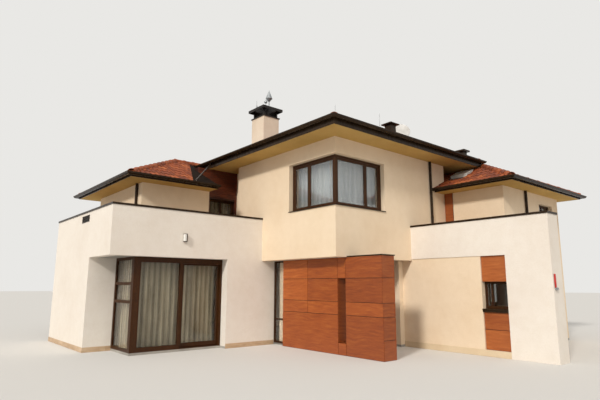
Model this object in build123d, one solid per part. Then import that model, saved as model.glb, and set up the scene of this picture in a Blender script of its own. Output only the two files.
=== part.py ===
from build123d import *
import math
import os

# Detached two-storey house in millimetres. X runs along the front, Y away from it, Z up.
# The origin is on the ground below the left end of the bay's front face.

# Levels above the ground
GROUND_SLAB = 60
CEILING = 2500
UPPER_FLOOR = 2800
MAIN_EAVE = 5720
LOWER_EAVE = 4750
PARAPET_LEFT = 3800
PARAPET_RIGHT = 3515
BAND_FOOT = 2540
COPING = 30

# Plan of the main block and its bay
WALL = 340
BAY_WIDTH = 4700
MAIN_DEPTH = 5070
NICHE_DEPTH = 800
NICHE_FRONT = -1100
NICHE_BACK = 460

# Plan of the left wing and of the lower block above it
WING_LEFT = -3700
WING_FRONT = -4610
WING_RIGHT = 1450
RECESS_LEFT = -170
RECESS_BACK = -3870
REVEAL = 280
DOOR_END = -1230
BLOCK_FRONT = -3330
PARAPET_WALL = 250

# Plan of the rear block, the right room and the white frame
REAR_RIGHT = 6700
REAR_FRONT = MAIN_DEPTH
REAR_BACK = 8880
FRAME_FRONT = 3150
FRAME_RIGHT = 8690
LEG_WIDTH = 1120
FRAME_DEPTH = 540
BAND_WALL = 250
ROOM_FRONT = 3170
ROOM_RIGHT = 8050

# Timber blade wall and porch
BLADE_LEFT = 2000
BLADE_RIGHT = BAY_WIDTH + 1170
BLADE_FRONT = 400
BLADE_WALL = 480
SLOT_LEFT = BAY_WIDTH - 360
SLOT_WIDTH = 290
SLOT_FOOT = 300
SLOT_TOP = 1950
PORCH_BACK = 2980
PORCH_RIGHT = SLOT_LEFT
DOOR_LEFT = BLADE_LEFT + 500
DOOR_WIDTH = 1000
DOOR_HEAD = 2200
STRIP_Y = 550

# Corner window of the bay
WINDOW_SILL = 3850
WINDOW_HEAD = 5270
WINDOW_LEFT = BAY_WIDTH - 1940
WINDOW_BACK = 2000
WINDOW_REVEAL = 140
SILL_REACH = 30
SILL_BOARD = 20
CORNER_MEMBER = 130
FRONT_MULLION = 640
SIDE_MULLION = 580

# Recess window with timber above and below
STRIP_WIDTH = 690
STRIP_SINK = 40
STRIP_BOARD = 25
REAR_STRIP = 300
RECESS_SILL = 1150
RECESS_HEAD = 1870

# Roofs
SLOPE = 0.455
LOWER_SLOPE = 0.49
MAIN_OVERHANG = 700
MAIN_REAR_OVERHANG = 1090
LOWER_OVERHANG = 550
ROOF_SLAB = 80
ROOF_EDGE = 110
LOWER_EDGE = 30
ROOF_SKIN = 180
FASCIA = 20
GUTTER_RADIUS = 80
GUTTER_WALL = 5
GUTTER_RISE = 210
LOWER_RISE = 110

# Roof light
ROOF_LIGHT_SIDE = 20
ROOF_LIGHT_BACK = 370
ROOF_LIGHT_WIDTH = 620
ROOF_LIGHT_LENGTH = 420
ROOF_LIGHT_RISE = 110
ROOF_LIGHT_APRON = 340
SEAT = 0.3

# Chimney
STACK_RIGHT = 20
STACK_FRONT = 1000
STACK_WIDTH = 750
STACK_DEPTH = 685
STACK_TOP = 7850
FLANGE = 35
CAP_OVERHANG = 100
CAP_GAP = 235
CAP_EDGE = 95
CAP_RISE = 100
CAP_SHELL = 12
BALL_RADIUS = 63
BALL_LIFT = 245
COWL_RADIUS = 130
COWL_FOOT = 250
COWL_SKIRT = 125
COWL_HOOD = 340
COWL_OFFSET = (70, 100)

# Satellite dish, roof vents, downspouts and the small things on the walls
DISH_RADIUS = 390
DISH_CURVE = 1000
DISH_RISE = 500
DISH_TURN = 38
DISH_LEAN = 62
DISH_PLACE = (BAY_WIDTH - 1500, MAIN_DEPTH - 370)
VENT_STUB = 240
VENT_HEIGHT = 330
VENT_CAP = 400
STACK_VENT = 240
STACK_VENT_CAP = 400
STACK_VENT_TOP = 6780
STACK_VENT_PLACE = (-550, 265)
PIPE = 40
PIPE_GAP = 5
PIPE_BACK = 820
PIPE_REAR = 2430
PIPE_LEFT = 300
LAMP_SIZE = (90, 100, 220)
LAMP_PLACE = (-2670, 2930)
LIGHT_SIZE = (35, 60, 345)
LIGHT_PLACE = (3195, 1700)
LIGHT_FOOT = (45, 80, 60)
GRILLE_SIZE = (650, 12, 190)
GRILLE_PLACE = (-1050, 3510)
CURTAIN = 80

# Windows and doors
SASH = 80
SASH_DEPTH = 70
GLASS = 12
LEAF_DEPTH = 44
RUN_CLEARANCE = 6
RAIL_CLEARANCE = 0.3
HANG_CLEARANCE = 0.3
MULLION = -2490
TRACK_DEPTH = 60
TRANSOMS = (1290, 1760)


def block(x, y, z):
    """A box between three pairs of coordinates."""
    size = (x[1] - x[0], y[1] - y[0], z[1] - z[0])
    centre = ((x[0] + x[1]) / 2, (y[0] + y[1]) / 2, (z[0] + z[1]) / 2)
    return Pos(*centre) * Box(*size)


def save(shape, node):
    """Write one piece to its own file."""
    solids = shape.solids()
    body = solids[0] if len(solids) == 1 else Compound(children=list(solids))
    export_step(body, f"parts/{node}.step")


def hip(x, y, foot, edge, slope):
    """A hipped roof over a rectangle: an upright edge, then four slopes up to the ridge."""
    half = min(x[1] - x[0], y[1] - y[0]) / 2
    eave = foot + edge
    top = eave + half * slope
    if x[1] - x[0] >= y[1] - y[0]:
        ridge = [(x[0] + half, y[0] + half, top), (x[1] - half, y[0] + half, top)]
        ends = [(3, 0), (1, 2)]
    else:
        ridge = [(x[0] + half, y[0] + half, top), (x[0] + half, y[1] - half, top)]
        ends = [(0, 1), (2, 3)]
    low = [(x[0], y[0], foot), (x[1], y[0], foot), (x[1], y[1], foot), (x[0], y[1], foot)]
    high = [(px, py, eave) for px, py, pz in low]
    loops = [low]
    for i in range(4):
        j = (i + 1) % 4
        loops.append([low[i], low[j], high[j], high[i]])
    for k, (i, j) in enumerate(ends):
        loops.append([high[i], high[j], ridge[k]])
    first, second = ends
    loops.append([high[first[1]], high[second[0]], ridge[1], ridge[0]])
    loops.append([high[second[1]], high[first[0]], ridge[0], ridge[1]])
    faces = [Face(Wire.make_polygon([Vector(*p) for p in loop], close=True)) for loop in loops]
    return Solid(Shell(faces))


def ring(x, y, z, member, axis):
    """A rectangular frame lying in the plane across the given axis."""
    whole = block(x, y, z)
    if axis == "y":
        hole = block((x[0] + member, x[1] - member), (y[0] - 1, y[1] + 1), (z[0] + member, z[1] - member))
    else:
        hole = block((x[0] - 1, x[1] + 1), (y[0] + member, y[1] - member), (z[0] + member, z[1] - member))
    return whole - hole


def pane(x, y, z, member, axis):
    """The glass that fills such a frame, in the middle of its depth."""
    if axis == "y":
        mid = (y[0] + y[1]) / 2
        return block((x[0] + member, x[1] - member), (mid - GLASS / 2, mid + GLASS / 2),
                     (z[0] + member, z[1] - member))
    mid = (x[0] + x[1]) / 2
    return block((mid - GLASS / 2, mid + GLASS / 2), (y[0] + member, y[1] - member),
                 (z[0] + member, z[1] - member))


def gutter(points, foot, rise):
    """A fascia board with a half-round gutter in front, swept along the eave."""
    path = Wire.make_polygon([Vector(px, py, foot) for px, py in points], close=False)
    run = (Vector(*points[1]) - Vector(*points[0])).normalized()
    outward = Vector(run.Y, -run.X, 0) * -1
    plane = Plane(origin=Vector(points[0][0], points[0][1], foot), x_dir=outward, z_dir=run)
    with BuildSketch(plane) as profile:
        with Locations((FASCIA / 2, rise / 2)):
            Rectangle(FASCIA, rise)
        with Locations((FASCIA + GUTTER_RADIUS - 1, rise)):
            Circle(GUTTER_RADIUS)
            Circle(GUTTER_RADIUS - GUTTER_WALL, mode=Mode.SUBTRACT)
        with Locations((FASCIA + GUTTER_RADIUS, rise + GUTTER_RADIUS)):
            Rectangle(2 * GUTTER_RADIUS + 10, 2 * GUTTER_RADIUS, mode=Mode.SUBTRACT)
    return sweep(profile.sketch, path=path, transition=Transition.RIGHT)


os.makedirs("parts", exist_ok=True)

# Derived places
wing_inner_left = WING_LEFT + WALL
rear_inner = REAR_BACK - WALL
bay_inner = BAY_WIDTH - WALL
niche_wall = (-NICHE_DEPTH - WALL, -NICHE_DEPTH)
door_plane = WING_RIGHT - REVEAL
storey = (GROUND_SLAB, CEILING)
upper = (UPPER_FLOOR, LOWER_EAVE)
leg_left = FRAME_RIGHT - LEG_WIDTH
over_all = STACK_TOP + 2000
blade_back = BLADE_FRONT + BLADE_WALL

# Ground floor slab under all rooms
slab_z = (0, GROUND_SLAB)
slab = block((WING_LEFT, RECESS_LEFT), (WING_FRONT, RECESS_BACK), slab_z)
slab += block((WING_LEFT, door_plane), (RECESS_BACK, DOOR_END), slab_z)
slab += block((WING_LEFT, WING_RIGHT), (DOOR_END, STRIP_Y), slab_z)
slab += block((WING_LEFT, BLADE_LEFT), (STRIP_Y, PORCH_BACK), slab_z)
slab += block((WING_LEFT, PORCH_RIGHT), (PORCH_BACK, ROOM_FRONT), slab_z)
slab += block((WING_LEFT, leg_left), (ROOM_FRONT, FRAME_FRONT + FRAME_DEPTH), slab_z)
slab += block((WING_LEFT, ROOM_RIGHT), (FRAME_FRONT + FRAME_DEPTH, REAR_FRONT), slab_z)
slab += block((WING_LEFT, REAR_RIGHT), (REAR_FRONT, REAR_BACK), slab_z)
save(slab, "ground_floor_slab")

# Ground floor walls of the left wing
front = block((WING_LEFT, RECESS_LEFT), (WING_FRONT, WING_FRONT + WALL), storey)
front += block((RECESS_LEFT - WALL, RECESS_LEFT), (WING_FRONT + WALL, RECESS_BACK), storey)
front += block((WING_RIGHT - WALL, WING_RIGHT), (DOOR_END, STRIP_Y), storey)
save(front, "left_wing_walls")

# Windows of the hidden sides: (along, width, sill, head)
left_windows = [(-2200, 1200, 960, 2260), (1600, 1200, 960, 2260), (REAR_BACK - 2680, 1200, 960, 2260),
                (-1900, 1000, 3700, 4600), (1600, 1000, 3700, 4600),
                (REAR_BACK - 2680, 1000, 3700, 4600)]
rear_windows = [(-2300, 1200, 960, 2260), (1200, 1200, 960, 2260), (4600, 1200, 960, 2260),
                (-2300, 1000, 3700, 4600), (1200, 1000, 3700, 4600), (4600, 1000, 3700, 4600)]
side_window = (REAR_BACK - 1450, 1000, 3700, 4450)

# Left wall, low beside the terrace and two storeys high behind it
left_x = (WING_LEFT, wing_inner_left)
left_wall = block(left_x, (WING_FRONT + WALL, REAR_BACK), storey)
left_wall += block(left_x, (BLOCK_FRONT, REAR_BACK), (CEILING, LOWER_EAVE))
for along, width, sill, head in left_windows:
    left_wall -= block((left_x[0] - 1, left_x[1] + 1), (along, along + width), (sill, head))
save(left_wall, "left_wall")

# Rear wall and the right wall of the rear block
rear_y = (rear_inner, REAR_BACK)
rear_wall = block((wing_inner_left, REAR_RIGHT), rear_y, (GROUND_SLAB, LOWER_EAVE))
for along, width, sill, head in rear_windows:
    rear_wall -= block((along, along + width), (rear_y[0] - 1, rear_y[1] + 1), (sill, head))
save(rear_wall, "rear_wall")
side_x = (REAR_RIGHT - WALL, REAR_RIGHT)
side_wall = block(side_x, (REAR_FRONT, rear_inner), (GROUND_SLAB, LOWER_EAVE))
side_wall -= block((side_x[0] - 1, side_x[1] + 1), (REAR_FRONT - 1, REAR_FRONT + WALL),
                   (BAND_FOOT, UPPER_FLOOR))
side_wall += block((bay_inner, REAR_RIGHT), (REAR_FRONT, REAR_FRONT + WALL), (UPPER_FLOOR, LOWER_EAVE))
along, width, sill, head = side_window
side_wall -= block((side_x[0] - 1, side_x[1] + 1), (along, along + width), (sill, head))
save(side_wall, "rear_block_walls")

# Porch walls behind the blade, with the entrance door
porch_side = block((BLADE_LEFT - WALL, BLADE_LEFT), (STRIP_Y, PORCH_BACK + WALL), storey)
porch_y = (PORCH_BACK, PORCH_BACK + WALL)
porch_rear = block((BLADE_LEFT, PORCH_RIGHT), porch_y, storey)
porch_rear -= block((DOOR_LEFT, DOOR_LEFT + DOOR_WIDTH), (porch_y[0] - 1, porch_y[1] + 1),
                    (GROUND_SLAB - 1, DOOR_HEAD))
save(porch_side + porch_rear, "porch_walls")
door_y = (PORCH_BACK + 120, PORCH_BACK + 120 + SASH_DEPTH)
door = block((DOOR_LEFT, DOOR_LEFT + DOOR_WIDTH), door_y, (GROUND_SLAB, DOOR_HEAD))
save(door, "entrance_door")

# Right room under the terrace
room_y = (ROOM_FRONT, ROOM_FRONT + WALL)
strip_x = (leg_left - STRIP_WIDTH, leg_left)
room_front = block((PORCH_RIGHT, BAY_WIDTH), room_y, (GROUND_SLAB, CEILING))
room_front += block((BAY_WIDTH, strip_x[0]), room_y, (GROUND_SLAB, BAND_FOOT))
room_front += block(strip_x, room_y, (GROUND_SLAB, GROUND_SLAB + 100))
save(room_front, "right_room_front_wall")
strip_y = (ROOM_FRONT + STRIP_SINK, ROOM_FRONT + WALL)
strip = block(strip_x, strip_y, (GROUND_SLAB + 100, RECESS_SILL))
strip += block(strip_x, strip_y, (RECESS_HEAD, BAND_FOOT))
rear_strip = block((BAY_WIDTH, BAY_WIDTH + REAR_STRIP), (REAR_FRONT - STRIP_BOARD, REAR_FRONT),
                   (UPPER_FLOOR, LOWER_EAVE))
save(Compound(children=[*strip.solids(), rear_strip]), "timber_strips")
frame_back = FRAME_FRONT + FRAME_DEPTH
side_z = (GROUND_SLAB, BAND_FOOT)
band_z = (BAND_FOOT, PARAPET_RIGHT)
room_sides = block((ROOM_RIGHT - WALL, ROOM_RIGHT), (frame_back, REAR_FRONT), side_z)
room_sides += block((REAR_RIGHT, ROOM_RIGHT), (REAR_FRONT - WALL, REAR_FRONT), side_z)
room_sides += block((ROOM_RIGHT - BAND_WALL, ROOM_RIGHT), (frame_back, REAR_FRONT), band_z)
room_sides += block((REAR_RIGHT, ROOM_RIGHT), (REAR_FRONT - BAND_WALL, REAR_FRONT), band_z)
save(room_sides, "right_room_side_walls")

# White frame: a leg on the ground and the band that is the terrace parapet
leg = block((leg_left, FRAME_RIGHT), (FRAME_FRONT, frame_back), (0, PARAPET_RIGHT))
band = block((BAY_WIDTH, leg_left), (FRAME_FRONT, FRAME_FRONT + BAND_WALL), band_z)
save(leg + band, "white_frame")

# Timber blade wall with its open slot and the metal cap beyond the bay
blade = block((BLADE_LEFT, BLADE_RIGHT), (BLADE_FRONT, blade_back), (0, CEILING))
blade -= block((SLOT_LEFT, SLOT_LEFT + SLOT_WIDTH), (BLADE_FRONT - 1, blade_back + 1), (SLOT_FOOT, SLOT_TOP))
save(blade, "timber_blade_wall")
blade_cap = block((BAY_WIDTH, BLADE_RIGHT + 15), (BLADE_FRONT - 15, blade_back + 15),
                  (CEILING, CEILING + 25))

# Upper floor and terrace slabs
floor_z = (CEILING, UPPER_FLOOR)
floor_left = (wing_inner_left, WING_RIGHT - PARAPET_WALL)
floor_slab = block(floor_left, (WING_FRONT + PARAPET_WALL, rear_inner), floor_z)
floor_slab += block((floor_left[1], bay_inner), (WALL, rear_inner), floor_z)
floor_slab += block((bay_inner, BAY_WIDTH), (MAIN_DEPTH, rear_inner), floor_z)
floor_slab += block((BAY_WIDTH, REAR_RIGHT - WALL), (REAR_FRONT + WALL, rear_inner), floor_z)
save(floor_slab, "upper_floor_slab")
terrace = block((BAY_WIDTH, ROOM_RIGHT - BAND_WALL), (FRAME_FRONT + BAND_WALL, REAR_FRONT - BAND_WALL),
                (BAND_FOOT, UPPER_FLOOR))
terrace += block((BAY_WIDTH, REAR_RIGHT), (REAR_FRONT - BAND_WALL, REAR_FRONT + WALL),
                 (BAND_FOOT, UPPER_FLOOR))
save(terrace - leg, "right_terrace_slab")

# Left terrace parapet
parapet_z = (CEILING, PARAPET_LEFT)
parapet = block((WING_LEFT, WING_RIGHT), (WING_FRONT, WING_FRONT + PARAPET_WALL), parapet_z)
parapet += block((WING_RIGHT - PARAPET_WALL, WING_RIGHT), (WING_FRONT, 0), parapet_z)
parapet += block((WING_LEFT, WING_LEFT + PARAPET_WALL), (WING_FRONT, BLOCK_FRONT), parapet_z)
save(parapet, "left_terrace_parapet")

# Bay walls with the corner window cut out of both
main_z = (CEILING, MAIN_EAVE)
window_z = (WINDOW_SILL, WINDOW_HEAD)
bay_front = block((0, floor_left[1]), (0, WALL), (UPPER_FLOOR, MAIN_EAVE))
bay_front += block((floor_left[1], BAY_WIDTH), (0, WALL), main_z)
bay_front -= block((WINDOW_LEFT, BAY_WIDTH + 1), (-1, WALL + 1), window_z)
bay_right = block((bay_inner, BAY_WIDTH), (WALL, MAIN_DEPTH), main_z)
bay_right -= block((bay_inner - 1, BAY_WIDTH + 1), (WALL - 1, WINDOW_BACK), window_z)
save(bay_right, "bay_right_wall")
bay_front += block((0, WALL), (WALL, NICHE_BACK), (UPPER_FLOOR, MAIN_EAVE))
bay_front += block((-NICHE_DEPTH, WALL), (NICHE_BACK, NICHE_BACK + WALL), (UPPER_FLOOR, MAIN_EAVE))
save(bay_front, "bay_front_wall")

# Upper walls of the lower block, the niche and the strips above the lower roofs
block_right = block((wing_inner_left, 0), (BLOCK_FRONT, BLOCK_FRONT + WALL), upper)
block_right += block((-WALL, 0), (BLOCK_FRONT + WALL, NICHE_FRONT), upper)
block_right += block((niche_wall[0], -WALL), (NICHE_FRONT - WALL, NICHE_FRONT), upper)
save(block_right, "left_block_walls")
NICHE_DOOR_LEFT = -620
NICHE_DOOR_WIDTH = 1000
NICHE_DOOR_HEAD = 4700
niche = block(niche_wall, (NICHE_FRONT, NICHE_BACK), (UPPER_FLOOR, MAIN_EAVE))
niche -= block((niche_wall[0] - 1, niche_wall[1] + 1), (NICHE_DOOR_LEFT, NICHE_DOOR_LEFT + NICHE_DOOR_WIDTH),
               (UPPER_FLOOR + 60, NICHE_DOOR_HEAD))
save(niche, "niche_timber_wall")
attic_z = (LOWER_EAVE + ROOF_SLAB, MAIN_EAVE)
high = block(niche_wall, (NICHE_BACK, MAIN_DEPTH), attic_z)
high += block((-NICHE_DEPTH, bay_inner), (MAIN_DEPTH - WALL, MAIN_DEPTH), attic_z)
save(high, "main_upper_walls")

# Roof slabs whose edges are the soffits
main_x = (-NICHE_DEPTH - MAIN_OVERHANG, BAY_WIDTH + MAIN_OVERHANG)
main_y = (-MAIN_OVERHANG, MAIN_DEPTH + MAIN_REAR_OVERHANG)
main_slab = block(main_x, main_y, (MAIN_EAVE, MAIN_EAVE + ROOF_SLAB))
save(main_slab, "main_roof_slab")
left_arm_x = (WING_LEFT - LOWER_OVERHANG, LOWER_OVERHANG)
left_arm_y = (BLOCK_FRONT - LOWER_OVERHANG, REAR_BACK + LOWER_OVERHANG)
rear_arm_x = (WING_LEFT - LOWER_OVERHANG, REAR_RIGHT + LOWER_OVERHANG)
rear_arm_y = (REAR_FRONT - LOWER_OVERHANG, REAR_BACK + LOWER_OVERHANG)
lower_z = (LOWER_EAVE, LOWER_EAVE + ROOF_SLAB)
left_slab = block(left_arm_x, (left_arm_y[0], NICHE_FRONT), lower_z)
left_slab += block((left_arm_x[0], niche_wall[0]), (NICHE_FRONT, NICHE_BACK), lower_z)
left_slab += block((left_arm_x[0], niche_wall[1]), (NICHE_BACK, rear_arm_y[0]), lower_z)
rear_slab = block(rear_arm_x, rear_arm_y, lower_z)
rear_slab -= block((niche_wall[1], bay_inner), (rear_arm_y[0] - 1, MAIN_DEPTH - WALL), (0, over_all))
rear_slab -= block((bay_inner, BAY_WIDTH), (rear_arm_y[0] - 1, MAIN_DEPTH), (0, over_all))
save(left_slab + rear_slab, "lower_roof_slab")

# Tiled roofs: hipped shells, the lower one L-shaped round the main block
main_foot = MAIN_EAVE + ROOF_SLAB
lower_foot = LOWER_EAVE + ROOF_SLAB


def shell_over(x, y, foot, edge, slope):
    """A hipped roof and the hollow under it."""
    inner = 2 * ROOF_SKIN
    hollow = hip((x[0] + inner, x[1] - inner), (y[0] + inner, y[1] - inner), foot, 1, slope)
    return hip(x, y, foot, edge, slope), hollow


main_roof, main_hollow = shell_over(main_x, main_y, main_foot, ROOF_EDGE, SLOPE)
stack_x = (STACK_RIGHT - STACK_WIDTH, STACK_RIGHT)
stack_y = (STACK_FRONT, STACK_FRONT + STACK_DEPTH)
main_roof = main_roof - main_hollow
main_roof -= block(stack_x, stack_y, (main_foot - 1, STACK_TOP))
save(main_roof, "main_roof")
left_roof, left_hollow = shell_over(left_arm_x, left_arm_y, lower_foot, LOWER_EDGE, LOWER_SLOPE)
rear_roof, rear_hollow = shell_over(rear_arm_x, rear_arm_y, lower_foot, LOWER_EDGE, LOWER_SLOPE)
lower_roof = left_roof + rear_roof
gutter_reach = FASCIA + 2 * GUTTER_RADIUS
main_block = block((niche_wall[0], BAY_WIDTH), (NICHE_FRONT, MAIN_DEPTH), (LOWER_EAVE, over_all))
eave_room = block((main_x[0] - gutter_reach, main_x[1] + gutter_reach),
                  (main_y[0] - gutter_reach, main_y[1] + gutter_reach),
                  (MAIN_EAVE, MAIN_EAVE + GUTTER_RISE + 30))
hollow_keep = block((niche_wall[0] - ROOF_SKIN, BAY_WIDTH + ROOF_SKIN),
                    (NICHE_FRONT - ROOF_SKIN, MAIN_DEPTH + ROOF_SKIN), (LOWER_EAVE, over_all))
lower_hollow = (left_hollow + rear_hollow) - hollow_keep
lower_hollow -= Pos(0, 0, -ROOF_SKIN) * eave_room
lower_roof = lower_roof - lower_hollow - main_block - eave_room
front_half = block(rear_arm_x, (left_arm_y[0], rear_arm_y[0]), (0, over_all))
rear_half = block(rear_arm_x, rear_arm_y, (0, over_all))
save(lower_roof & front_half, "left_roof")
save(lower_roof & rear_half, "rear_roof")

# Roof light on the front slope of the rear block: an upstand with glass, and an apron below it
light_front = REAR_FRONT + ROOF_LIGHT_BACK
light_x = (BAY_WIDTH + ROOF_LIGHT_SIDE, BAY_WIDTH + ROOF_LIGHT_SIDE + ROOF_LIGHT_WIDTH)


def on_slope(y, lift):
    """A point on the rear block's front slope, as (y, z)."""
    return (y, lower_foot + LOWER_EDGE + (y - rear_arm_y[0]) * LOWER_SLOPE + SEAT + lift)


def along_x(points, x):
    """A prism with the given outline in Y and Z, between two places along X."""
    face = Face(Wire.make_polygon([Vector(x[0], y, z) for y, z in points], close=True))
    return extrude(face, x[1] - x[0], dir=(1, 0, 0))


light_back = light_front + ROOF_LIGHT_LENGTH
kerb = along_x([on_slope(light_front, 0), on_slope(light_front, ROOF_LIGHT_RISE),
                on_slope(light_back, ROOF_LIGHT_RISE), on_slope(light_back, 0)], light_x)
kerb += along_x([on_slope(light_front - ROOF_LIGHT_APRON, 0), on_slope(light_front - ROOF_LIGHT_APRON, 12),
                 on_slope(light_front, 12), on_slope(light_front, 0)], light_x)
save(kerb, "roof_light")

# Gutters round the eaves
main_mid = (main_x[0] + main_x[1]) / 2
main_right = [(main_mid, main_y[1]), (main_x[1], main_y[1]), (main_x[1], main_y[0]), (main_mid, main_y[0])]
main_left = [(main_mid, main_y[0]), (main_x[0], main_y[0]), (main_x[0], main_y[1]), (main_mid, main_y[1])]
lower_loop = [(left_arm_x[1], NICHE_FRONT), (left_arm_x[1], left_arm_y[0]), (left_arm_x[0], left_arm_y[0]),
              (left_arm_x[0], rear_arm_y[1]), (rear_arm_x[1], rear_arm_y[1]), (rear_arm_x[1], rear_arm_y[0]),
              (BAY_WIDTH, rear_arm_y[0])]
main_gutter = gutter(main_right, MAIN_EAVE, GUTTER_RISE) + gutter(main_left, MAIN_EAVE, GUTTER_RISE)
lower_gutter = gutter(lower_loop, LOWER_EAVE, LOWER_RISE)
save(Compound(children=[main_gutter, lower_gutter]), "gutters")

# Chimney
save(block(stack_x, stack_y, (main_foot, STACK_TOP)), "chimney_stack")
flange_top = STACK_TOP + FLANGE
cap_foot = flange_top + CAP_GAP
mid_x = (stack_x[0] + stack_x[1]) / 2
mid_y = (stack_y[0] + stack_y[1]) / 2
flange = block((stack_x[0] - 30, stack_x[1] + 30), (stack_y[0] - 30, stack_y[1] + 30),
               (STACK_TOP, flange_top))
flange -= block((stack_x[0] + 150, stack_x[1] - 150), (stack_y[0] + 150, stack_y[1] - 150),
                (STACK_TOP - 1, flange_top + 1))
chimney_cap = flange
for px in (stack_x[0] + 60, stack_x[1] - 60):
    for py in (stack_y[0] + 60, stack_y[1] - 60):
        chimney_cap += block((px - 20, px + 20), (py - 20, py + 20), (flange_top, cap_foot + CAP_EDGE))
cap_x = (stack_x[0] - CAP_OVERHANG, stack_x[1] + CAP_OVERHANG)
cap_y = (stack_y[0] - CAP_OVERHANG, stack_y[1] + CAP_OVERHANG)
cap_slope = CAP_RISE / ((cap_y[1] - cap_y[0]) / 2)
hood = hip(cap_x, cap_y, cap_foot, CAP_EDGE, cap_slope)
hood -= block((cap_x[0] + CAP_SHELL, cap_x[1] - CAP_SHELL), (cap_y[0] + CAP_SHELL, cap_y[1] - CAP_SHELL),
              (cap_foot - 1, cap_foot + CAP_EDGE - CAP_SHELL))
cap_top = cap_foot + CAP_EDGE + CAP_RISE


def rod(start, end, radius):
    """A round rod between two points."""
    run = Vector(*end) - Vector(*start)
    return extrude(Plane(origin=Vector(*start), z_dir=run) * Circle(radius), run.length)


ball_z = cap_top + BALL_LIFT
chimney_cap += hood
chimney_cap += rod((mid_x, mid_y, cap_top - 30), (mid_x, mid_y, ball_z), 14)
chimney_cap += Pos(mid_x, mid_y, ball_z) * Sphere(BALL_RADIUS)
cowl_x = mid_x + COWL_OFFSET[0]
cowl_y = mid_y + COWL_OFFSET[1]
cowl_z = cap_top + COWL_FOOT
outline = [(0, cap_top - 80), (22, cap_top - 80), (22, cowl_z), (COWL_RADIUS, cowl_z + COWL_SKIRT),
           (0, cowl_z + COWL_SKIRT + COWL_HOOD)]
cowl = revolve(Face(Wire.make_polygon([Vector(r, 0, z) for r, z in outline], close=True)), Axis.Z)
chimney_cap += Pos(cowl_x, cowl_y, 0) * cowl
save(chimney_cap, "chimney_cap")

# Satellite dish on the back slope of the main roof: mast, bracket, bowl, feed arm and receiver
dish_x, dish_y = DISH_PLACE
dish_foot = main_foot + ROOF_EDGE + (main_y[1] - dish_y) * SLOPE
aim = Pos(dish_x, dish_y, dish_foot + DISH_RISE) * Rot(0, 0, DISH_TURN) * Rot(DISH_LEAN, 0, 0)
bowl = Sphere(DISH_CURVE) - Sphere(DISH_CURVE - 10)
bowl = bowl & (Pos(0, 0, -DISH_CURVE) * Cylinder(DISH_RADIUS, 200))
mast = rod((dish_x, dish_y, dish_foot - 60), (dish_x, dish_y, dish_foot + DISH_RISE + 20), 25)
dish = aim * Pos(0, 0, DISH_CURVE + 100) * bowl
dish += aim * rod((0, 0, 0), (0, 0, 106), 22)
dish += aim * rod((0, -DISH_RADIUS + 25, 170), (0, -DISH_RADIUS + 95, 470), 11)
dish += aim * rod((0, -DISH_RADIUS + 75, 485), (0, -DISH_RADIUS + 105, 415), 30)
save(dish + (mast - hip(main_x, main_y, main_foot, ROOF_EDGE, SLOPE)), "satellite_dish")

# Vents: a capped stub on the right slope and a taller one behind the ridge of the rear block
vent_x = BAY_WIDTH - 200
vent_y = MAIN_DEPTH / 2 + 65
vent_foot = main_foot + ROOF_EDGE + (main_x[1] - vent_x) * SLOPE
half_stub = VENT_STUB / 2
half_cap = VENT_CAP / 2
vent_neck = vent_foot + VENT_HEIGHT
vent = block((vent_x - half_stub, vent_x + half_stub), (vent_y - half_stub, vent_y + half_stub),
             (vent_foot - 2 * half_stub * SLOPE, vent_neck))
vent -= hip(main_x, main_y, main_foot, ROOF_EDGE, SLOPE)
vent += hip((vent_x - half_cap, vent_x + half_cap), (vent_y - half_cap, vent_y + half_cap), vent_neck,
            30, 0.5)
high_x = BAY_WIDTH + STACK_VENT_PLACE[0]
high_y = (rear_arm_y[0] + rear_arm_y[1]) / 2 + STACK_VENT_PLACE[1]
half_stub = STACK_VENT / 2
half_cap = STACK_VENT_CAP / 2
high_vent = block((high_x - half_stub, high_x + half_stub), (high_y - half_stub, high_y + half_stub),
                  (lower_foot + LOWER_EDGE, STACK_VENT_TOP - 60))
high_vent -= rear_roof
high_vent += block((high_x - half_cap, high_x + half_cap), (high_y - half_cap, high_y + half_cap),
                   (STACK_VENT_TOP - 60, STACK_VENT_TOP))
save(Compound(children=[vent, high_vent]), "roof_vents")

# Corner window: posts, rails, glass and sill
frame_y = (WINDOW_REVEAL, WINDOW_REVEAL + SASH_DEPTH)
frame_x = (BAY_WIDTH - WINDOW_REVEAL - SASH_DEPTH, BAY_WIDTH - WINDOW_REVEAL)
front_mullion = (WINDOW_LEFT + FRONT_MULLION, WINDOW_LEFT + FRONT_MULLION + CORNER_MEMBER)
side_mullion = (WINDOW_BACK - SIDE_MULLION - CORNER_MEMBER, WINDOW_BACK - SIDE_MULLION)
corner = ring((WINDOW_LEFT, frame_x[1]), frame_y, window_z, CORNER_MEMBER, "y")
corner += block(front_mullion, frame_y, window_z)
corner += ring(frame_x, (frame_y[0], WINDOW_BACK), window_z, CORNER_MEMBER, "x")
corner += block(frame_x, side_mullion, window_z)
save(corner, "corner_window_frame")
board_z = (WINDOW_SILL, WINDOW_SILL + SILL_BOARD)
sill = block((WINDOW_LEFT, BAY_WIDTH + SILL_REACH), (-SILL_REACH, frame_y[0]), board_z)
sill += block((frame_x[1], BAY_WIDTH + SILL_REACH), (-SILL_REACH, WINDOW_BACK), board_z)

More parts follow.
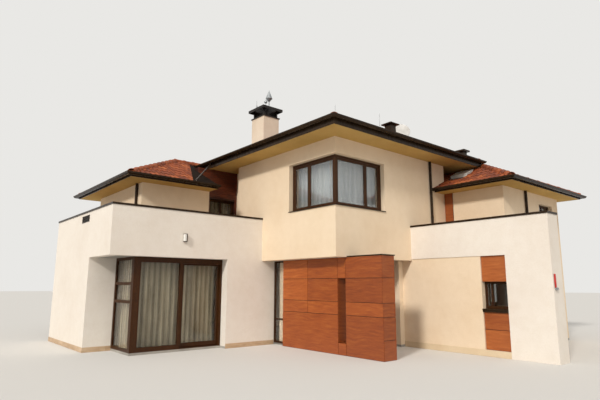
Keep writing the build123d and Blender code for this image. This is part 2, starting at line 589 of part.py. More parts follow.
# Terrace door in the left wing: outer frame, fixed side and the leaf that slides behind it
frame_head = 2360
post_y = (RECESS_BACK, RECESS_BACK + 190)
door_frame_x = (door_plane - 80, door_plane)
track_x = (door_frame_x[0] - TRACK_DEPTH, door_plane)
outer = block(track_x, (post_y[1], DOOR_END), (frame_head + 80, CEILING))
outer += block(door_frame_x, (RECESS_BACK, DOOR_END), (frame_head, CEILING))
outer += block(track_x, (post_y[1], DOOR_END), (GROUND_SLAB, GROUND_SLAB + 20))
outer += block(door_frame_x, post_y, storey)
outer += block(door_frame_x, (DOOR_END - 60, DOOR_END), storey)
outer += block(door_frame_x, (MULLION - 80, MULLION), storey)
outer += block(door_frame_x, (post_y[1], MULLION - 80), (GROUND_SLAB, 180))
leaf_x = (door_frame_x[0] - RUN_CLEARANCE - LEAF_DEPTH, door_frame_x[0] - RUN_CLEARANCE)
leaf_y = (MULLION - 30, DOOR_END - RUN_CLEARANCE)
leaf_z = (GROUND_SLAB + 20 + RUN_CLEARANCE, frame_head + 80 - RUN_CLEARANCE)
LEAF_STILE = 120
rail_x = (leaf_x[0] + LEAF_DEPTH / 2 - 4, leaf_x[0] + LEAF_DEPTH / 2 + 4)
outer += block(rail_x, (post_y[1], DOOR_END), (GROUND_SLAB + 20, leaf_z[0] - RAIL_CLEARANCE))
save(ring(leaf_x, leaf_y, leaf_z, LEAF_STILE, "x"), "sliding_leaf")
save(pane(leaf_x, leaf_y, leaf_z, LEAF_STILE, "x"), "sliding_leaf_glass")

# Light beside the door in the recessed corner
light_y = (RECESS_BACK, RECESS_BACK + 60)
light_x = (RECESS_LEFT, door_frame_x[0])
light = ring(light_x, light_y, storey, SASH, "y")
for transom in TRANSOMS:
    light += block((light_x[0] + SASH, light_x[1] - SASH), light_y, (transom, transom + SASH))
save(outer + light, "terrace_door_frame")

# Narrow light beside the blade
narrow_x = (WING_RIGHT, BLADE_LEFT)
narrow_y = (STRIP_Y - SASH_DEPTH, STRIP_Y)
narrow_z = (GROUND_SLAB, CEILING)
strip_window = ring(narrow_x, narrow_y, narrow_z, 50, "y")

# Recess window in the timber strip
sunk_y = (ROOM_FRONT + 160, ROOM_FRONT + 160 + SASH_DEPTH)
recess_z = (RECESS_SILL, RECESS_HEAD)
recess_window = ring(strip_x, sunk_y, recess_z, 60, "y")
save(Compound(children=[strip_window, recess_window]), "ground_window_frames")
recess_sill = block(strip_x, (ROOM_FRONT - 30, sunk_y[0]), (RECESS_SILL, RECESS_SILL + 30))
save(Compound(children=[sill, recess_sill]), "window_sills")

# Door on the niche
niche_door_x = (niche_wall[1] - 120 - SASH_DEPTH, niche_wall[1] - 120)
niche_door_y = (NICHE_DOOR_LEFT, NICHE_DOOR_LEFT + NICHE_DOOR_WIDTH)
niche_door_z = (UPPER_FLOOR + 60, NICHE_DOOR_HEAD)
save(ring(niche_door_x, niche_door_y, niche_door_z, SASH, "x"), "niche_door")

# Frames of the hidden windows
frames = []
panes = []
for along, width, sill_z, head_z in left_windows:
    window = ((left_x[0] + 120, left_x[0] + 120 + SASH_DEPTH), (along, along + width), (sill_z, head_z))
    frames.append(ring(*window, SASH, "x"))
    panes.append(pane(*window, SASH, "x"))
for along, width, sill_z, head_z in rear_windows:
    window = ((along, along + width), (rear_y[1] - 120 - SASH_DEPTH, rear_y[1] - 120), (sill_z, head_z))
    frames.append(ring(*window, SASH, "y"))
    panes.append(pane(*window, SASH, "y"))
along, width, sill_z, head_z = side_window
window = ((side_x[1] - 120 - SASH_DEPTH, side_x[1] - 120), (along, along + width), (sill_z, head_z))
frames.append(ring(*window, SASH, "x"))
panes.append(pane(*window, SASH, "x"))
save(Compound(children=frames), "hidden_window_frames")
save(Compound(children=panes), "hidden_window_glass")

# Glass of the shown windows
glazing = [pane((WINDOW_LEFT, front_mullion[1]), frame_y, window_z, CORNER_MEMBER, "y"),
         pane((front_mullion[0], frame_x[1]), frame_y, window_z, CORNER_MEMBER, "y"),
         pane(frame_x, (frame_y[0], side_mullion[1]), window_z, CORNER_MEMBER, "x"),
         pane(frame_x, (side_mullion[0], WINDOW_BACK), window_z, CORNER_MEMBER, "x"),
         pane(niche_door_x, niche_door_y, niche_door_z, SASH, "x")]
mid_door = (door_frame_x[0] + 30, door_frame_x[0] + 30 + GLASS)
mid_light = (light_y[0] + 24, light_y[0] + 24 + GLASS)
light_in = (light_x[0] + SASH, light_x[1] - SASH)
glazing += [block(mid_door, (post_y[1], MULLION - 80), (180, frame_head)),
         block(light_in, mid_light, (GROUND_SLAB + SASH, TRANSOMS[0])),
         block(light_in, mid_light, (TRANSOMS[0] + SASH, TRANSOMS[1])),
         block(light_in, mid_light, (TRANSOMS[1] + SASH, CEILING - SASH)),
         pane(narrow_x, narrow_y, narrow_z, 50, "y"),
         pane(strip_x, sunk_y, recess_z, 60, "y")]
save(Compound(children=glazing), "shown_window_glass")

# Thin metal copings
coping = block((WING_LEFT - 15, WING_RIGHT + 15), (WING_FRONT - 15, WING_FRONT + PARAPET_WALL + 15),
               (PARAPET_LEFT, PARAPET_LEFT + COPING))
coping += block((WING_RIGHT - PARAPET_WALL - 15, WING_RIGHT + 15), (WING_FRONT - 15, 0),
                (PARAPET_LEFT, PARAPET_LEFT + COPING))
coping += block((WING_LEFT - 15, WING_LEFT + PARAPET_WALL + 15), (WING_FRONT - 15, BLOCK_FRONT),
                (PARAPET_LEFT, PARAPET_LEFT + COPING))
copings = [blade_cap, coping]
right_z = (PARAPET_RIGHT, PARAPET_RIGHT + COPING)
coping = block((BAY_WIDTH, leg_left), (FRAME_FRONT - 15, FRAME_FRONT + BAND_WALL + 15), right_z)
coping += block((leg_left - 15, FRAME_RIGHT + 15), (FRAME_FRONT - 15, frame_back + 15), right_z)
coping += block((ROOM_RIGHT - BAND_WALL - 15, ROOM_RIGHT + 15), (frame_back, REAR_FRONT), right_z)
coping += block((REAR_RIGHT, ROOM_RIGHT + 15), (REAR_FRONT - BAND_WALL - 15, REAR_FRONT), right_z)
copings.append(coping)
save(Compound(children=copings), "copings")

# Downspouts
bay_z = (UPPER_FLOOR, MAIN_EAVE)
bay_pipe = (BAY_WIDTH + PIPE + PIPE_GAP, MAIN_DEPTH - PIPE_BACK)
left_pipe = (-PIPE_LEFT, BLOCK_FRONT - PIPE - PIPE_GAP)
rear_pipe = (REAR_RIGHT + PIPE + PIPE_GAP, REAR_BACK - PIPE_REAR)
pipes = [rod((*bay_pipe, UPPER_FLOOR), (*bay_pipe, MAIN_EAVE), PIPE),
         rod((*left_pipe, UPPER_FLOOR), (*left_pipe, LOWER_EAVE), PIPE),
         rod((*rear_pipe, 0), (*rear_pipe, LOWER_EAVE), PIPE)]
save(Compound(children=pipes), "downspouts")

# Small things on the walls
depth, width, height = LAMP_SIZE
save(block((WING_RIGHT, WING_RIGHT + depth), (LAMP_PLACE[0], LAMP_PLACE[0] + width),
           (LAMP_PLACE[1], LAMP_PLACE[1] + height)), "wall_lamp")
depth, width, height = LIGHT_SIZE
light_end = (LIGHT_PLACE[0] + width, LIGHT_PLACE[1] + height)
cover = block((FRAME_RIGHT, FRAME_RIGHT + depth), (LIGHT_PLACE[0], light_end[0]), (LIGHT_PLACE[1], light_end[1]))
depth, width, height = LIGHT_FOOT
cover += block((FRAME_RIGHT, FRAME_RIGHT + depth), (light_end[0] - 20, light_end[0] + width),
               (LIGHT_PLACE[1] - height / 2, LIGHT_PLACE[1] + height / 2))
save(cover, "meter_box")
width, depth, height = GRILLE_SIZE
save(block((GRILLE_PLACE[0], GRILLE_PLACE[0] + width), (WING_FRONT - depth, WING_FRONT),
           (GRILLE_PLACE[1], GRILLE_PLACE[1] + height)), "vent_grille")

# Curtains behind the glass, as plain panels hung just under the ceiling
low_z = (GROUND_SLAB + 20, CEILING - HANG_CLEARANCE)
high_z = (UPPER_FLOOR + 20, MAIN_EAVE - HANG_CLEARANCE)
niche_z = (UPPER_FLOOR + 20, LOWER_EAVE - HANG_CLEARANCE)
door_curtain = door_frame_x[0] - 160
light_curtain = RECESS_BACK + 150
curtains = [block((door_curtain - CURTAIN, door_curtain), (RECESS_BACK + 270, DOOR_END - 100), low_z),
            block((RECESS_LEFT + 60, door_curtain - CURTAIN - 30), (light_curtain, light_curtain + CURTAIN), low_z),
            block((WINDOW_LEFT - 100, bay_inner - 200), (WALL + 60, WALL + 60 + CURTAIN), high_z),
            block((bay_inner - 60 - CURTAIN, bay_inner - 60), (WALL + 60, WINDOW_BACK + 100), high_z),
            block((niche_wall[0] - 60 - CURTAIN, niche_wall[0] - 60), (-640, 400), niche_z)]
save(Compound(children=curtains), "curtains")
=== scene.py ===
"""Detached two-storey house with a cantilevered bay, two roof terraces and hipped clay tile roofs."""
import math

import bmesh
import bpy
from mathutils import Matrix, Vector


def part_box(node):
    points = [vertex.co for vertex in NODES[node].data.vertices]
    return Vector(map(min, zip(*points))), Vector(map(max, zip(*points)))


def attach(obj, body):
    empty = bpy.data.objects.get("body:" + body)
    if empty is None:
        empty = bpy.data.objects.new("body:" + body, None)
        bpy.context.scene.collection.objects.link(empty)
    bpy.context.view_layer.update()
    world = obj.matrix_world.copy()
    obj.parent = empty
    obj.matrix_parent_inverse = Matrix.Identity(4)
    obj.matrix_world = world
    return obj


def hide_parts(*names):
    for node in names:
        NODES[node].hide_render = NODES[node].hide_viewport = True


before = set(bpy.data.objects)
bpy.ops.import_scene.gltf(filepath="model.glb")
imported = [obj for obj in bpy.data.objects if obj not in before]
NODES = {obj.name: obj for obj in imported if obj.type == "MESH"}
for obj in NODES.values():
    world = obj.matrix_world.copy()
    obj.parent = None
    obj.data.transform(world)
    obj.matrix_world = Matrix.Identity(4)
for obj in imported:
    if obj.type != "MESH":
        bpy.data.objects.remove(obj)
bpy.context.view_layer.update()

bl_info = {
    "name": "House finishes",
    "version": (1, 0, 0),
    "blender": (4, 5, 0),
    "location": "View3D > Sidebar > House",
    "description": "Tiles, panels, windows, curtains and finishes of a detached house",
    "category": "Object",
}

HOUSE = "house"
LEAF = "terrace_door_leaf"

# Heights in metres: floors and eaves, and the top of each roof's boards at the eave
UPPER_FLOOR = 2.8
MAIN_EAVE = 5.72
LOWER_EAVE = 4.75
MAIN_FOOT = 5.91
LOWER_FOOT = 4.86
SLOPE = 0.455
LOWER_SLOPE = 0.49
COPING_LEFT = 3.80
COPING_RIGHT = 3.515

# Plans of the roofs and of the roof light: left, right, front and back
MAIN = (-1.5, 5.4, -0.7, 6.16)
LEFT = (-4.25, 0.55, -3.88, 9.43)
REAR = (-4.25, 7.25, 4.52, 9.43)
LIGHT = (4.72, 5.34, 5.44, 5.86)
APRON = 0.34
BAY_RIGHT = 4.7
MAIN_BACK = 5.07
NICHE_WALL = -1.14
NICHE_FRONT = -1.1
BLOCK_FRONT = -3.33
WING_LEFT = -3.7
WING_FRONT = -4.61
WING_RIGHT = 1.45
GUTTER = 0.18
# Foot and head of the dark sheet laid as painted shade on the left roof's right slope
SHADE_SHEET_PLAN = ((0.55, -1.98), (-1.84, -0.93))

# The timber blade wall: its slot, the heights of its joints and the tone of each sheet in turn
SLOT_LEFT, SLOT_RIGHT, SLOT_FOOT, SLOT_TOP = 4.34, 4.63, 0.30, 1.95
BLADE_JOINT = 3.13
BLADE_ROWS = (0.0, 1.01, 1.345, SLOT_TOP, 2.5)
BLADE_LOW_JOINT = 0.47
BLADE_TONES = (0.62, 0.45, 0.74, 0.80, 0.70, 0.98, 0.55, 0.40, 1.0, 0.66, 0.50, 0.86)

# The strips of panels: left, right, face and back in plan, then each field's joints from the foot up
STRIP = (6.88, 7.57, 3.21, 3.51)
STRIP_JOINTS = ((0.16, 0.66, 1.15), (1.87, 2.54))
REAR_STRIP = (4.7, 5.0, 5.045, 5.07)
REAR_STRIP_JOINTS = (2.8, 3.78, 4.75)

# The niche: the door's span in Y and its height, and the boards' width and thickness
NICHE_DOOR = (-0.62, 0.38, 2.86, 4.70)
BOARD = 0.14
BOARD_THICK = 0.02

SASH_DEPTH = 0.07
LOUVRE_LEAN = 0.9
SKIRTING_LENGTH, SKIRTING_HEIGHT, SKIRTING_THICK = 0.60, 0.13, 0.010
TERRACE_TILE = 0.40


# Small helpers

def linear(code):
    """sRGB hex to the linear colour that a shader socket takes."""
    parts = [int(code[i:i + 2], 16) / 255 for i in (1, 3, 5)]
    return tuple(c / 12.92 if c <= 0.04045 else ((c + 0.055) / 1.055) ** 2.4 for c in parts) + (1.0,)


def put(tree, kind, inputs=None, **settings):
    """Adds one node; inputs maps a socket to a value or to another node's output."""
    made = tree.nodes.new(kind)
    for key, value in settings.items():
        setattr(made, key, value)
    for key, value in (inputs or {}).items():
        socket = made.inputs[key]
        if isinstance(value, bpy.types.NodeSocket):
            tree.links.new(value, socket)
        else:
            socket.default_value = value
    return made


def mesh_of(bm, name):
    """The mesh of a bmesh, which is freed."""
    mesh = bpy.data.meshes.new(name)
    bm.to_mesh(mesh)
    bm.free()
    return mesh


def absorb(whole, mesh):
    """Adds a mesh to a bmesh and removes it."""
    whole.from_mesh(mesh)
    bpy.data.meshes.remove(mesh)


def finish_piece(name, bm, material, stands_for=None, body=HOUSE, smooth=30.0, merge=False):
    """Turns a bmesh into a piece that rides on a body and may stand for a CAD node."""
    if merge:
        bmesh.ops.remove_doubles(bm, verts=bm.verts, dist=1e-6)
        bmesh.ops.recalc_face_normals(bm, faces=bm.faces)
    mesh = mesh_of(bm, name)
    if not mesh.polygons:
        raise RuntimeError(f"{name} came out empty")
    obj = bpy.data.objects.new(name, mesh)
    bpy.context.collection.objects.link(obj)
    mesh.materials.clear()
    mesh.materials.append(MATS[material])
    for face in mesh.polygons:
        face.use_smooth = True
        face.material_index = 0
    mesh.set_sharp_from_angle(angle=math.radians(smooth))
    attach(obj, body)
    if stands_for:
        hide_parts(stands_for)
    return obj


def add_box(bm, x, y, z, chamfer=0.0, tone=None):
    """Adds a box to a bmesh, with its edges broken by a small chamfer."""
    layer = bm.faces.layers.float.get("tone") or bm.faces.layers.float.new("tone")
    made = bmesh.ops.create_cube(bm, size=1.0)["verts"]
    centre = Vector(((x[0] + x[1]) / 2, (y[0] + y[1]) / 2, (z[0] + z[1]) / 2))
    size = Vector((x[1] - x[0], y[1] - y[0], z[1] - z[0]))
    for v in made:
        v.co = Vector((v.co.x * size.x, v.co.y * size.y, v.co.z * size.z)) + centre
    faces = {f for v in made for f in v.link_faces}
    if chamfer:
        edges = list({e for v in made for e in v.link_edges})
        cut = bmesh.ops.bevel(bm, geom=edges, offset=chamfer, segments=1, affect="EDGES")
        faces = {f for v in cut["verts"] for f in v.link_faces}
    if tone is not None:
        for f in faces:
            f[layer] = tone
    return faces


def facing_box(bm, axis, across, depth, up, chamfer=0.0, tone=None):
    """A box on a wall that faces along an axis."""
    spans = (across, depth) if axis == "y" else (depth, across)
    return add_box(bm, *spans, up, chamfer, tone)


def border(x, y, width):
    """Plan spans of the four bars just inside a rectangle."""
    inner = (y[0] + width, y[1] - width)
    return ((x, (y[0], y[0] + width)), (x, (y[1] - width, y[1])),
            ((x[0], x[0] + width), inner), ((x[1] - width, x[1]), inner))


def loft(bm, sections, ring=False):
    """Skins closed sections of points one after another, in a ring or with both ends capped."""
    loops = [[bm.verts.new(point) for point in section] for section in sections]
    for one, two in zip(loops, loops[1:] + loops[:1] if ring else loops[1:]):
        for k in range(len(one)):
            m = (k + 1) % len(one)
            bm.faces.new((one[k], one[m], two[m], two[k]))
    if not ring:
        bm.faces.new(list(reversed(loops[0])))
        bm.faces.new(loops[-1])


def add_ring(bm, corners, out, section):
    """Sweeps a section round a rectangle with mitred corners.

    corners are the four outer corners in order, out is the way the face looks, and section holds
    (inset from the outer edge, height towards out) pairs in order round the profile.
    """
    loops = []
    for i, corner in enumerate(corners):
        inward = (corners[i - 1] - corner).normalized() + (corners[(i + 1) % 4] - corner).normalized()
        loops.append([corner + inward * inset + out * height for inset, height in section])
    loft(bm, loops, ring=True)


def rectangle(axis, at, across, up):
    """Four corners of an upright rectangle in the plane across an axis."""
    corners = [(across[0], up[0]), (across[1], up[0]), (across[1], up[1]), (across[0], up[1])]
    return [Vector((a, at, z)) if axis == "y" else Vector((at, a, z)) for a, z in corners]


def sash_section(width, depth, chamfer=0.006, bead=0.012):
    """Profile of a lacquered timber sash: a flat, an eased edge and a glazing bead."""
    return [(0, 0), (0, depth - chamfer), (chamfer, depth), (width - bead - chamfer, depth),
            (width - bead, depth - chamfer), (width - bead, depth - 0.018), (width, depth - 0.024),
            (width, 0.0)]


def sloped(bm, axis, origin, foot, slope):
    """Tips what was drawn flat on to a roof slope that rises along X or Y, its sides kept upright."""
    for v in bm.verts:
        run = (v.co.x if axis == "x" else v.co.y) - origin
        v.co.z += foot + run * slope


# Materials

def fresh(name):
    """A new material with an empty tree, and its shader."""
    mat = bpy.data.materials.new(name)
    mat.use_nodes = True
    tree = mat.node_tree
    tree.nodes.clear()
    shader = put(tree, "ShaderNodeBsdfPrincipled")
    put(tree, "ShaderNodeOutputMaterial", {"Surface": shader.outputs[0]})
    return mat, tree, shader


def join_up(tree, shader, links, values):
    """Joins outputs to the shader's sockets, and sets what is even all over on its own sockets."""
    for key, output in links.items():
        tree.links.new(output, shader.inputs[key])
    for key, value in values.items():
        shader.inputs[key].default_value = value


def ramp(tree, factor, stops):
    """A colour ramp from (place, hex) stops."""
    made = put(tree, "ShaderNodeValToRGB", {"Fac": factor})
    line = made.color_ramp
    while len(line.elements) < len(stops):
        line.elements.new(0.5)
    for element, (place, code) in zip(line.elements, stops):
        element.position = place
        element.color = linear(code)
    return made.outputs["Color"]


def place_of(tree, scale=(1.0, 1.0, 1.0)):
    """Object coordinates in metres, or stretched."""
    coords = put(tree, "ShaderNodeTexCoord")
    return put(tree, "ShaderNodeMapping", {"Vector": coords.outputs["Object"], "Scale": scale}).outputs[0]


def noise_of(tree, vector, scale, detail=3.0, rough=0.55):
    """Noise with features about 1/scale metres across."""
    made = put(tree, "ShaderNodeTexNoise", {"Vector": vector, "Scale": scale, "Detail": detail,
                                            "Roughness": rough})
    return made.outputs["Fac"]


def own_of(tree, name):
    """An attribute that the mesh carries, such as each tile's own tone."""
    return put(tree, "ShaderNodeAttribute", attribute_name=name).outputs["Fac"]


def blend_colours(tree, kind, factor, one, two):
    """Mixes two colours."""
    made = put(tree, "ShaderNodeMix", {0: factor, 6: one, 7: two}, data_type="RGBA", blend_type=kind)
    return made.outputs[2]


def sum_of(tree, kind, one, two):
    """One Math node."""
    return put(tree, "ShaderNodeMath", {0: one, 1: two}, operation=kind).outputs[0]


def bump_of(tree, height, millimetres, strength=1.0):
    """Bump with a real height."""
    return put(tree, "ShaderNodeBump", {"Height": height, "Distance": millimetres / 1000,
                                        "Strength": strength}).outputs["Normal"]


def lime_render(name, tones, wing=None):
    """Scraped lime render. Its 2 mm grit is drawn 9 mm coarse so that it shows, over slow clouds of tone.

    tones are the pale, middle and deep one, and wing the three of a wall that changes its colour where
    the wing begins.
    """
    mat, tree, shader = fresh(name)
    where = place_of(tree)
    clouds = noise_of(tree, where, 0.8, 4.0)
    patches = noise_of(tree, where, 5.0)
    grit = noise_of(tree, where, 110.0, 2.0, 0.7)

    def clouded(trio):
        return ramp(tree, clouds, list(zip((0.30, 0.50, 0.72), reversed(trio))))

    base = clouded(tones)
    if wing:
        depth = put(tree, "ShaderNodeSeparateXYZ", {0: where}).outputs[1]
        base = blend_colours(tree, "MIX", sum_of(tree, "LESS_THAN", depth, BLOCK_FRONT), base, clouded(wing))
    worn = ramp(tree, patches, [(0.35, "#f9f7f4"), (0.65, "#ffffff")])
    speck = ramp(tree, grit, [(0.30, "#e9e4dc"), (0.60, "#ffffff")])
    tinted = blend_colours(tree, "MULTIPLY", 0.5, base, worn)
    join_up(tree, shader, {"Base Color": blend_colours(tree, "MULTIPLY", 0.55, tinted, speck),
                           "Normal": bump_of(tree, grit, 1.5, 0.5)},
            {"Roughness": 0.92, "Specular IOR Level": 0.25})
    return mat


def even_finish(name, tone, low, high, grain, bump, values):
    """A finish with one noise in its colour and another in its bump.

    tone and grain hold each noise's scale, detail and roughness, low and high the two ends of the
    colour, and bump the height in millimetres and its strength.
    """
    mat, tree, shader = fresh(name)
    where = place_of(tree)
    links = {"Base Color": ramp(tree, noise_of(tree, where, *tone), [low, high])}
    if grain:
        links["Normal"] = bump_of(tree, noise_of(tree, where, *grain), *bump)
    join_up(tree, shader, links, values)
    return mat


def facade_timber(name, stops, squash):
    """Veneered panel or board under satin lacquer.

    The figure sweeps across each panel in long streaks, with fine pores in it, and each panel is cut
    from another sheet. The tone also paints shade: near black on the core behind the open joints, and
    low on faces turned from the light. squash is how much longer than wide the streaks are.
    """
    mat, tree, shader = fresh(name)
    each = own_of(tree, "tone")

    def moved(where, way, by):
        step = put(tree, "ShaderNodeVectorMath", {0: way, "Scale": by}, operation="SCALE").outputs[0]
        return put(tree, "ShaderNodeVectorMath", {0: where, 1: step}, operation="ADD").outputs[0]

    own = moved(place_of(tree), (3.7, 5.1, 8.3), each)
    drift = put(tree, "ShaderNodeTexNoise", {"Vector": own, "Scale": 1.1, "Detail": 2.0}).outputs["Fac"]
    bent = moved(own, (0.0, 0.0, 0.26), drift)
    drawn = put(tree, "ShaderNodeMapping", {"Vector": bent, "Scale": (1.0, 1.0, squash)}).outputs[0]
    figure = noise_of(tree, drawn, 2.3, 5.0, 0.6)
    pores = noise_of(tree, drawn, 24.0, 4.0, 0.65)
    body = ramp(tree, figure, list(zip((0.32, 0.45, 0.57, 0.70), stops)))
    fine = ramp(tree, pores, [(0.35, "#bda595"), (0.6, "#ffffff")])
    # Each sheet's own tone, with painted shade: tone 0 for the core in the joints, low tones for the end face
    # and the slot
    shade = ramp(tree, each, [(0.0, "#2b1f18"), (0.2, "#b9a898"), (0.6, "#e3dad2"), (1.0, "#ffffff")])
    wood = blend_colours(tree, "MULTIPLY", 0.3, body, fine)
    join_up(tree, shader, {"Base Color": blend_colours(tree, "MULTIPLY", 0.95, wood, shade),
                           "Normal": bump_of(tree, pores, 0.4, 0.35)}, {"Roughness": 0.48})
    return mat


def sheet_metal(name, low, high):
    """Folded sheet: satin, with faint oil canning."""
    mat, tree, shader = fresh(name)
    where = place_of(tree)
    wave = noise_of(tree, where, 9.0, 2.0)
    tone = noise_of(tree, where, 3.5, 4.0)
    join_up(tree, shader, {"Base Color": ramp(tree, tone, [(0.3, low), (0.7, high)]),
                           "Roughness": ramp(tree, wave, [(0.3, "#808080"), (0.7, "#a0a0a0")]),
                           "Normal": bump_of(tree, wave, 2.0, 0.15)}, {"Specular IOR Level": 0.14})
    return mat


def curtain_cloth(name, low, high, deep):
    """Woven cloth: threads 1 mm apart drawn 6 mm coarse, matt, with slubs along the drop.

    Painted shade: it is darker where it lies deep in a fold, by the share deep.
    """
    mat, tree, shader = fresh(name)
    coords = put(tree, "ShaderNodeTexCoord").outputs["UV"]
    warp, weft = (put(tree, "ShaderNodeTexWave", {"Vector": coords, "Scale": 26.0, "Distortion": 0.6},
                      bands_direction=way).outputs["Fac"] for way in "XY")
    weave = sum_of(tree, "MULTIPLY", warp, weft)
    drawn = put(tree, "ShaderNodeMapping", {"Vector": coords, "Scale": (1.0, 0.1, 1.0)}).outputs[0]
    slub = noise_of(tree, drawn, 9.0, 4.0)
    cloth = blend_colours(tree, "MULTIPLY", 0.5, ramp(tree, slub, [(0.3, low), (0.7, high)]),
                          ramp(tree, weave, [(0.0, "#d9d5cd"), (1.0, "#ffffff")]))
    # Painted shade in the folds: the fold attribute darkens the cloth where it lies deep
    dim = ramp(tree, own_of(tree, "fold"), [(0.15, "#78705f"), (0.45, "#c5bfb2"), (0.8, "#ffffff")])
    join_up(tree, shader, {"Base Color": blend_colours(tree, "MULTIPLY", deep, cloth, dim),
                           "Normal": bump_of(tree, weave, 0.4, 0.3)},
            {"Roughness": 0.95, "Sheen Weight": 0.2})
    return mat


def make_materials():
    """Every finish of the house, by a short name."""
    cream = ("#ecd9bf", "#e9d5ba", "#e5cfb2")
    white = ("#ebe4da", "#e8e0d6", "#e4dbd0")
    m = {
        "cream": lime_render("scraped_lime_render_cream", cream),
        "side": lime_render("scraped_lime_render_two_tone", cream, wing=white),
        "plinth": lime_render("mineral_plinth_plaster", ("#e0cdb0", "#dac6a7", "#d2bc9c")),
        "white": lime_render("scraped_lime_render_white", white),
        # Soffit boards: the cream paint drawn darker and more ochre, as painted shade under the eaves
        "soffit": lime_render("soffit_board_painted_shade", ("#d0ae6c", "#c8a562", "#bd9a57")),
        "stack": lime_render("smooth_render_on_stack", ("#ebdecb", "#e3d3bf", "#d6c5af")),
        "panel": facade_timber("veneered_facade_panel", ("#9a4c1b", "#a7551e", "#b05d22", "#bc6b2c"), 9.0),
        "strip": facade_timber("veneered_strip_panel", ("#a05423", "#aa5c27", "#b3642c", "#bd7035"), 9.0),
        "niche": facade_timber("stained_board", ("#47190a", "#5c260f", "#6f3214", "#824020"), 16.0),
        # Dark brown on gutters, pipes and copings
        "metal": sheet_metal("coil_coated_steel", "#271b10", "#36281a"),
        # Dull grey round the stack and the roof light
        "lead": sheet_metal("folded_lead_sheet", "#4b4a47", "#65635f"),
        # The last number is the share of painted shade in the folds
        "cloth": curtain_cloth("woven_linen_beige", "#8c7e64", "#dccfb2", 1.0),
        "voile": curtain_cloth("woven_voile_white", "#b2bbc1", "#ced5d9", 0.3),
        # Cast concrete, wood floated: grey and even, with pores drawn 12 mm coarse
        "concrete": even_finish("floated_concrete", (2.0, 5.0), (0.3, "#8f8a82"), (0.7, "#a8a39a"),
                                (80.0, 2.0), (1.0, 0.4), {"Roughness": 0.9}),
        # Bitumen felt with slate grit: brown black and matt, grit drawn 10 mm coarse; laid on the roof as
        # painted shade
        "felt": even_finish("slated_bitumen_felt", (100.0, 2.0, 0.7), (0.3, "#19120d"), (0.7, "#2c2019"),
                            (100.0, 2.0, 0.7), (1.0, 0.4), {"Roughness": 0.95, "Specular IOR Level": 0.08}),
        # Powder coated aluminium: off-white, fine orange peel
        "coat": even_finish("white_powder_coat", (6.0, 4.0), (0.3, "#b7b5af"), (0.65, "#c9c7c2"),
                            (260.0, 2.0), (0.3, 0.3), {"Roughness": 0.4}),
        # Opal glass: milky, smooth, with slow clouds. It is the lamp's shade; on the roof light's pane its
        # white is a painted reflection of the sky
        "opal": even_finish("opal_glass", (6.0, 2.0), (0.3, "#e3e1da"), (0.7, "#f0eee8"), None, None,
                            {"Roughness": 0.12}),
        # Moulded polycarbonate lens: red, glossy
        "red": even_finish("moulded_red_polycarbonate", (18.0, 2.0), (0.3, "#a81d12"), (0.7, "#c42a1a"),
                           None, None, {"Roughness": 0.3}),
    }

    # Fired clay tile: engobe in orange reds, each tile with its own tone, darker in patches of soot and
    # lichen
    m["tile"], tree, shader = fresh("engobed_clay_tile")
    where = place_of(tree)
    fired = ramp(tree, own_of(tree, "tone"), [(0.0, "#763619"), (0.35, "#8f441b"), (0.7, "#a25022"),
                                              (1.0, "#b2622f")])
    film = ramp(tree, noise_of(tree, where, 7.0, 5.0, 0.65), [(0.35, "#a99a8c"), (0.62, "#ffffff")])
    join_up(tree, shader, {"Base Color": blend_colours(tree, "MULTIPLY", 0.75, fired, film),
                           "Normal": bump_of(tree, noise_of(tree, where, 150.0, 2.0), 0.8, 0.4)},
            {"Roughness": 0.7})

    # Lacquered softwood in the window frames: brown, satin, grain just showing along the member
    m["frame"], tree, shader = fresh("lacquered_window_timber")
    grain = noise_of(tree, place_of(tree, (1.0, 1.0, 0.12)), 120.0)
    slow = noise_of(tree, place_of(tree), 3.0)
    tone = blend_colours(tree, "MULTIPLY", 0.5, ramp(tree, grain, [(0.3, "#291707"), (0.7, "#4c2b0f")]),
                         ramp(tree, slow, [(0.3, "#e2d8d0"), (0.7, "#ffffff")]))
    join_up(tree, shader, {"Base Color": tone, "Normal": bump_of(tree, grain, 0.3, 0.3)},
            {"Roughness": 0.45, "Specular IOR Level": 0.18})

    # Sheet steel hood dulled by soot; the ball and the turning cowl above it, from 8.4 m, stay bright
    m["cap"], tree, shader = fresh("soot_dulled_steel")
    where = place_of(tree)
    height = put(tree, "ShaderNodeSeparateXYZ", {0: where}).outputs[2]
    bright = sum_of(tree, "GREATER_THAN", height, 8.40)
    soot = noise_of(tree, where, 5.0, 4.0)
    dull = ramp(tree, soot, [(0.3, "#15110d"), (0.7, "#231c16")])
    steel = ramp(tree, soot, [(0.3, "#8b8f92"), (0.7, "#b4b8ba")])
    join_up(tree, shader, {"Base Color": blend_colours(tree, "MIX", bright, dull, steel),
                           "Metallic": sum_of(tree, "MULTIPLY", bright, 0.7)},
            {"Roughness": 0.45, "Specular IOR Level": 0.3})

    # Float glass in sealed units: clear with a grey cast, reflecting the sky; the alpha lets daylight
    # on to the curtains
    m["glass"], tree, shader = fresh("float_glass")
    join_up(tree, shader, {"Normal": bump_of(tree, noise_of(tree, place_of(tree), 1.4, 1.0), 1.0, 0.05)},
            {"Base Color": linear("#f3f7f6"), "Roughness": 0.02, "Transmission Weight": 1.0, "Alpha": 0.45,
             "IOR": 1.45})

    # Hot dip galvanized steel: pale grey with spangles drawn 20 mm across
    m["steel"], tree, shader = fresh("galvanized_steel")
    cells = put(tree, "ShaderNodeTexVoronoi", {"Vector": place_of(tree), "Scale": 50.0}).outputs["Color"]
    spangle = put(tree, "ShaderNodeSeparateColor", {0: cells}).outputs[0]
    join_up(tree, shader, {"Base Color": ramp(tree, spangle, [(0.2, "#8d8f90"), (0.8, "#b3b5b5")])},
            {"Roughness": 0.42, "Metallic": 0.7})

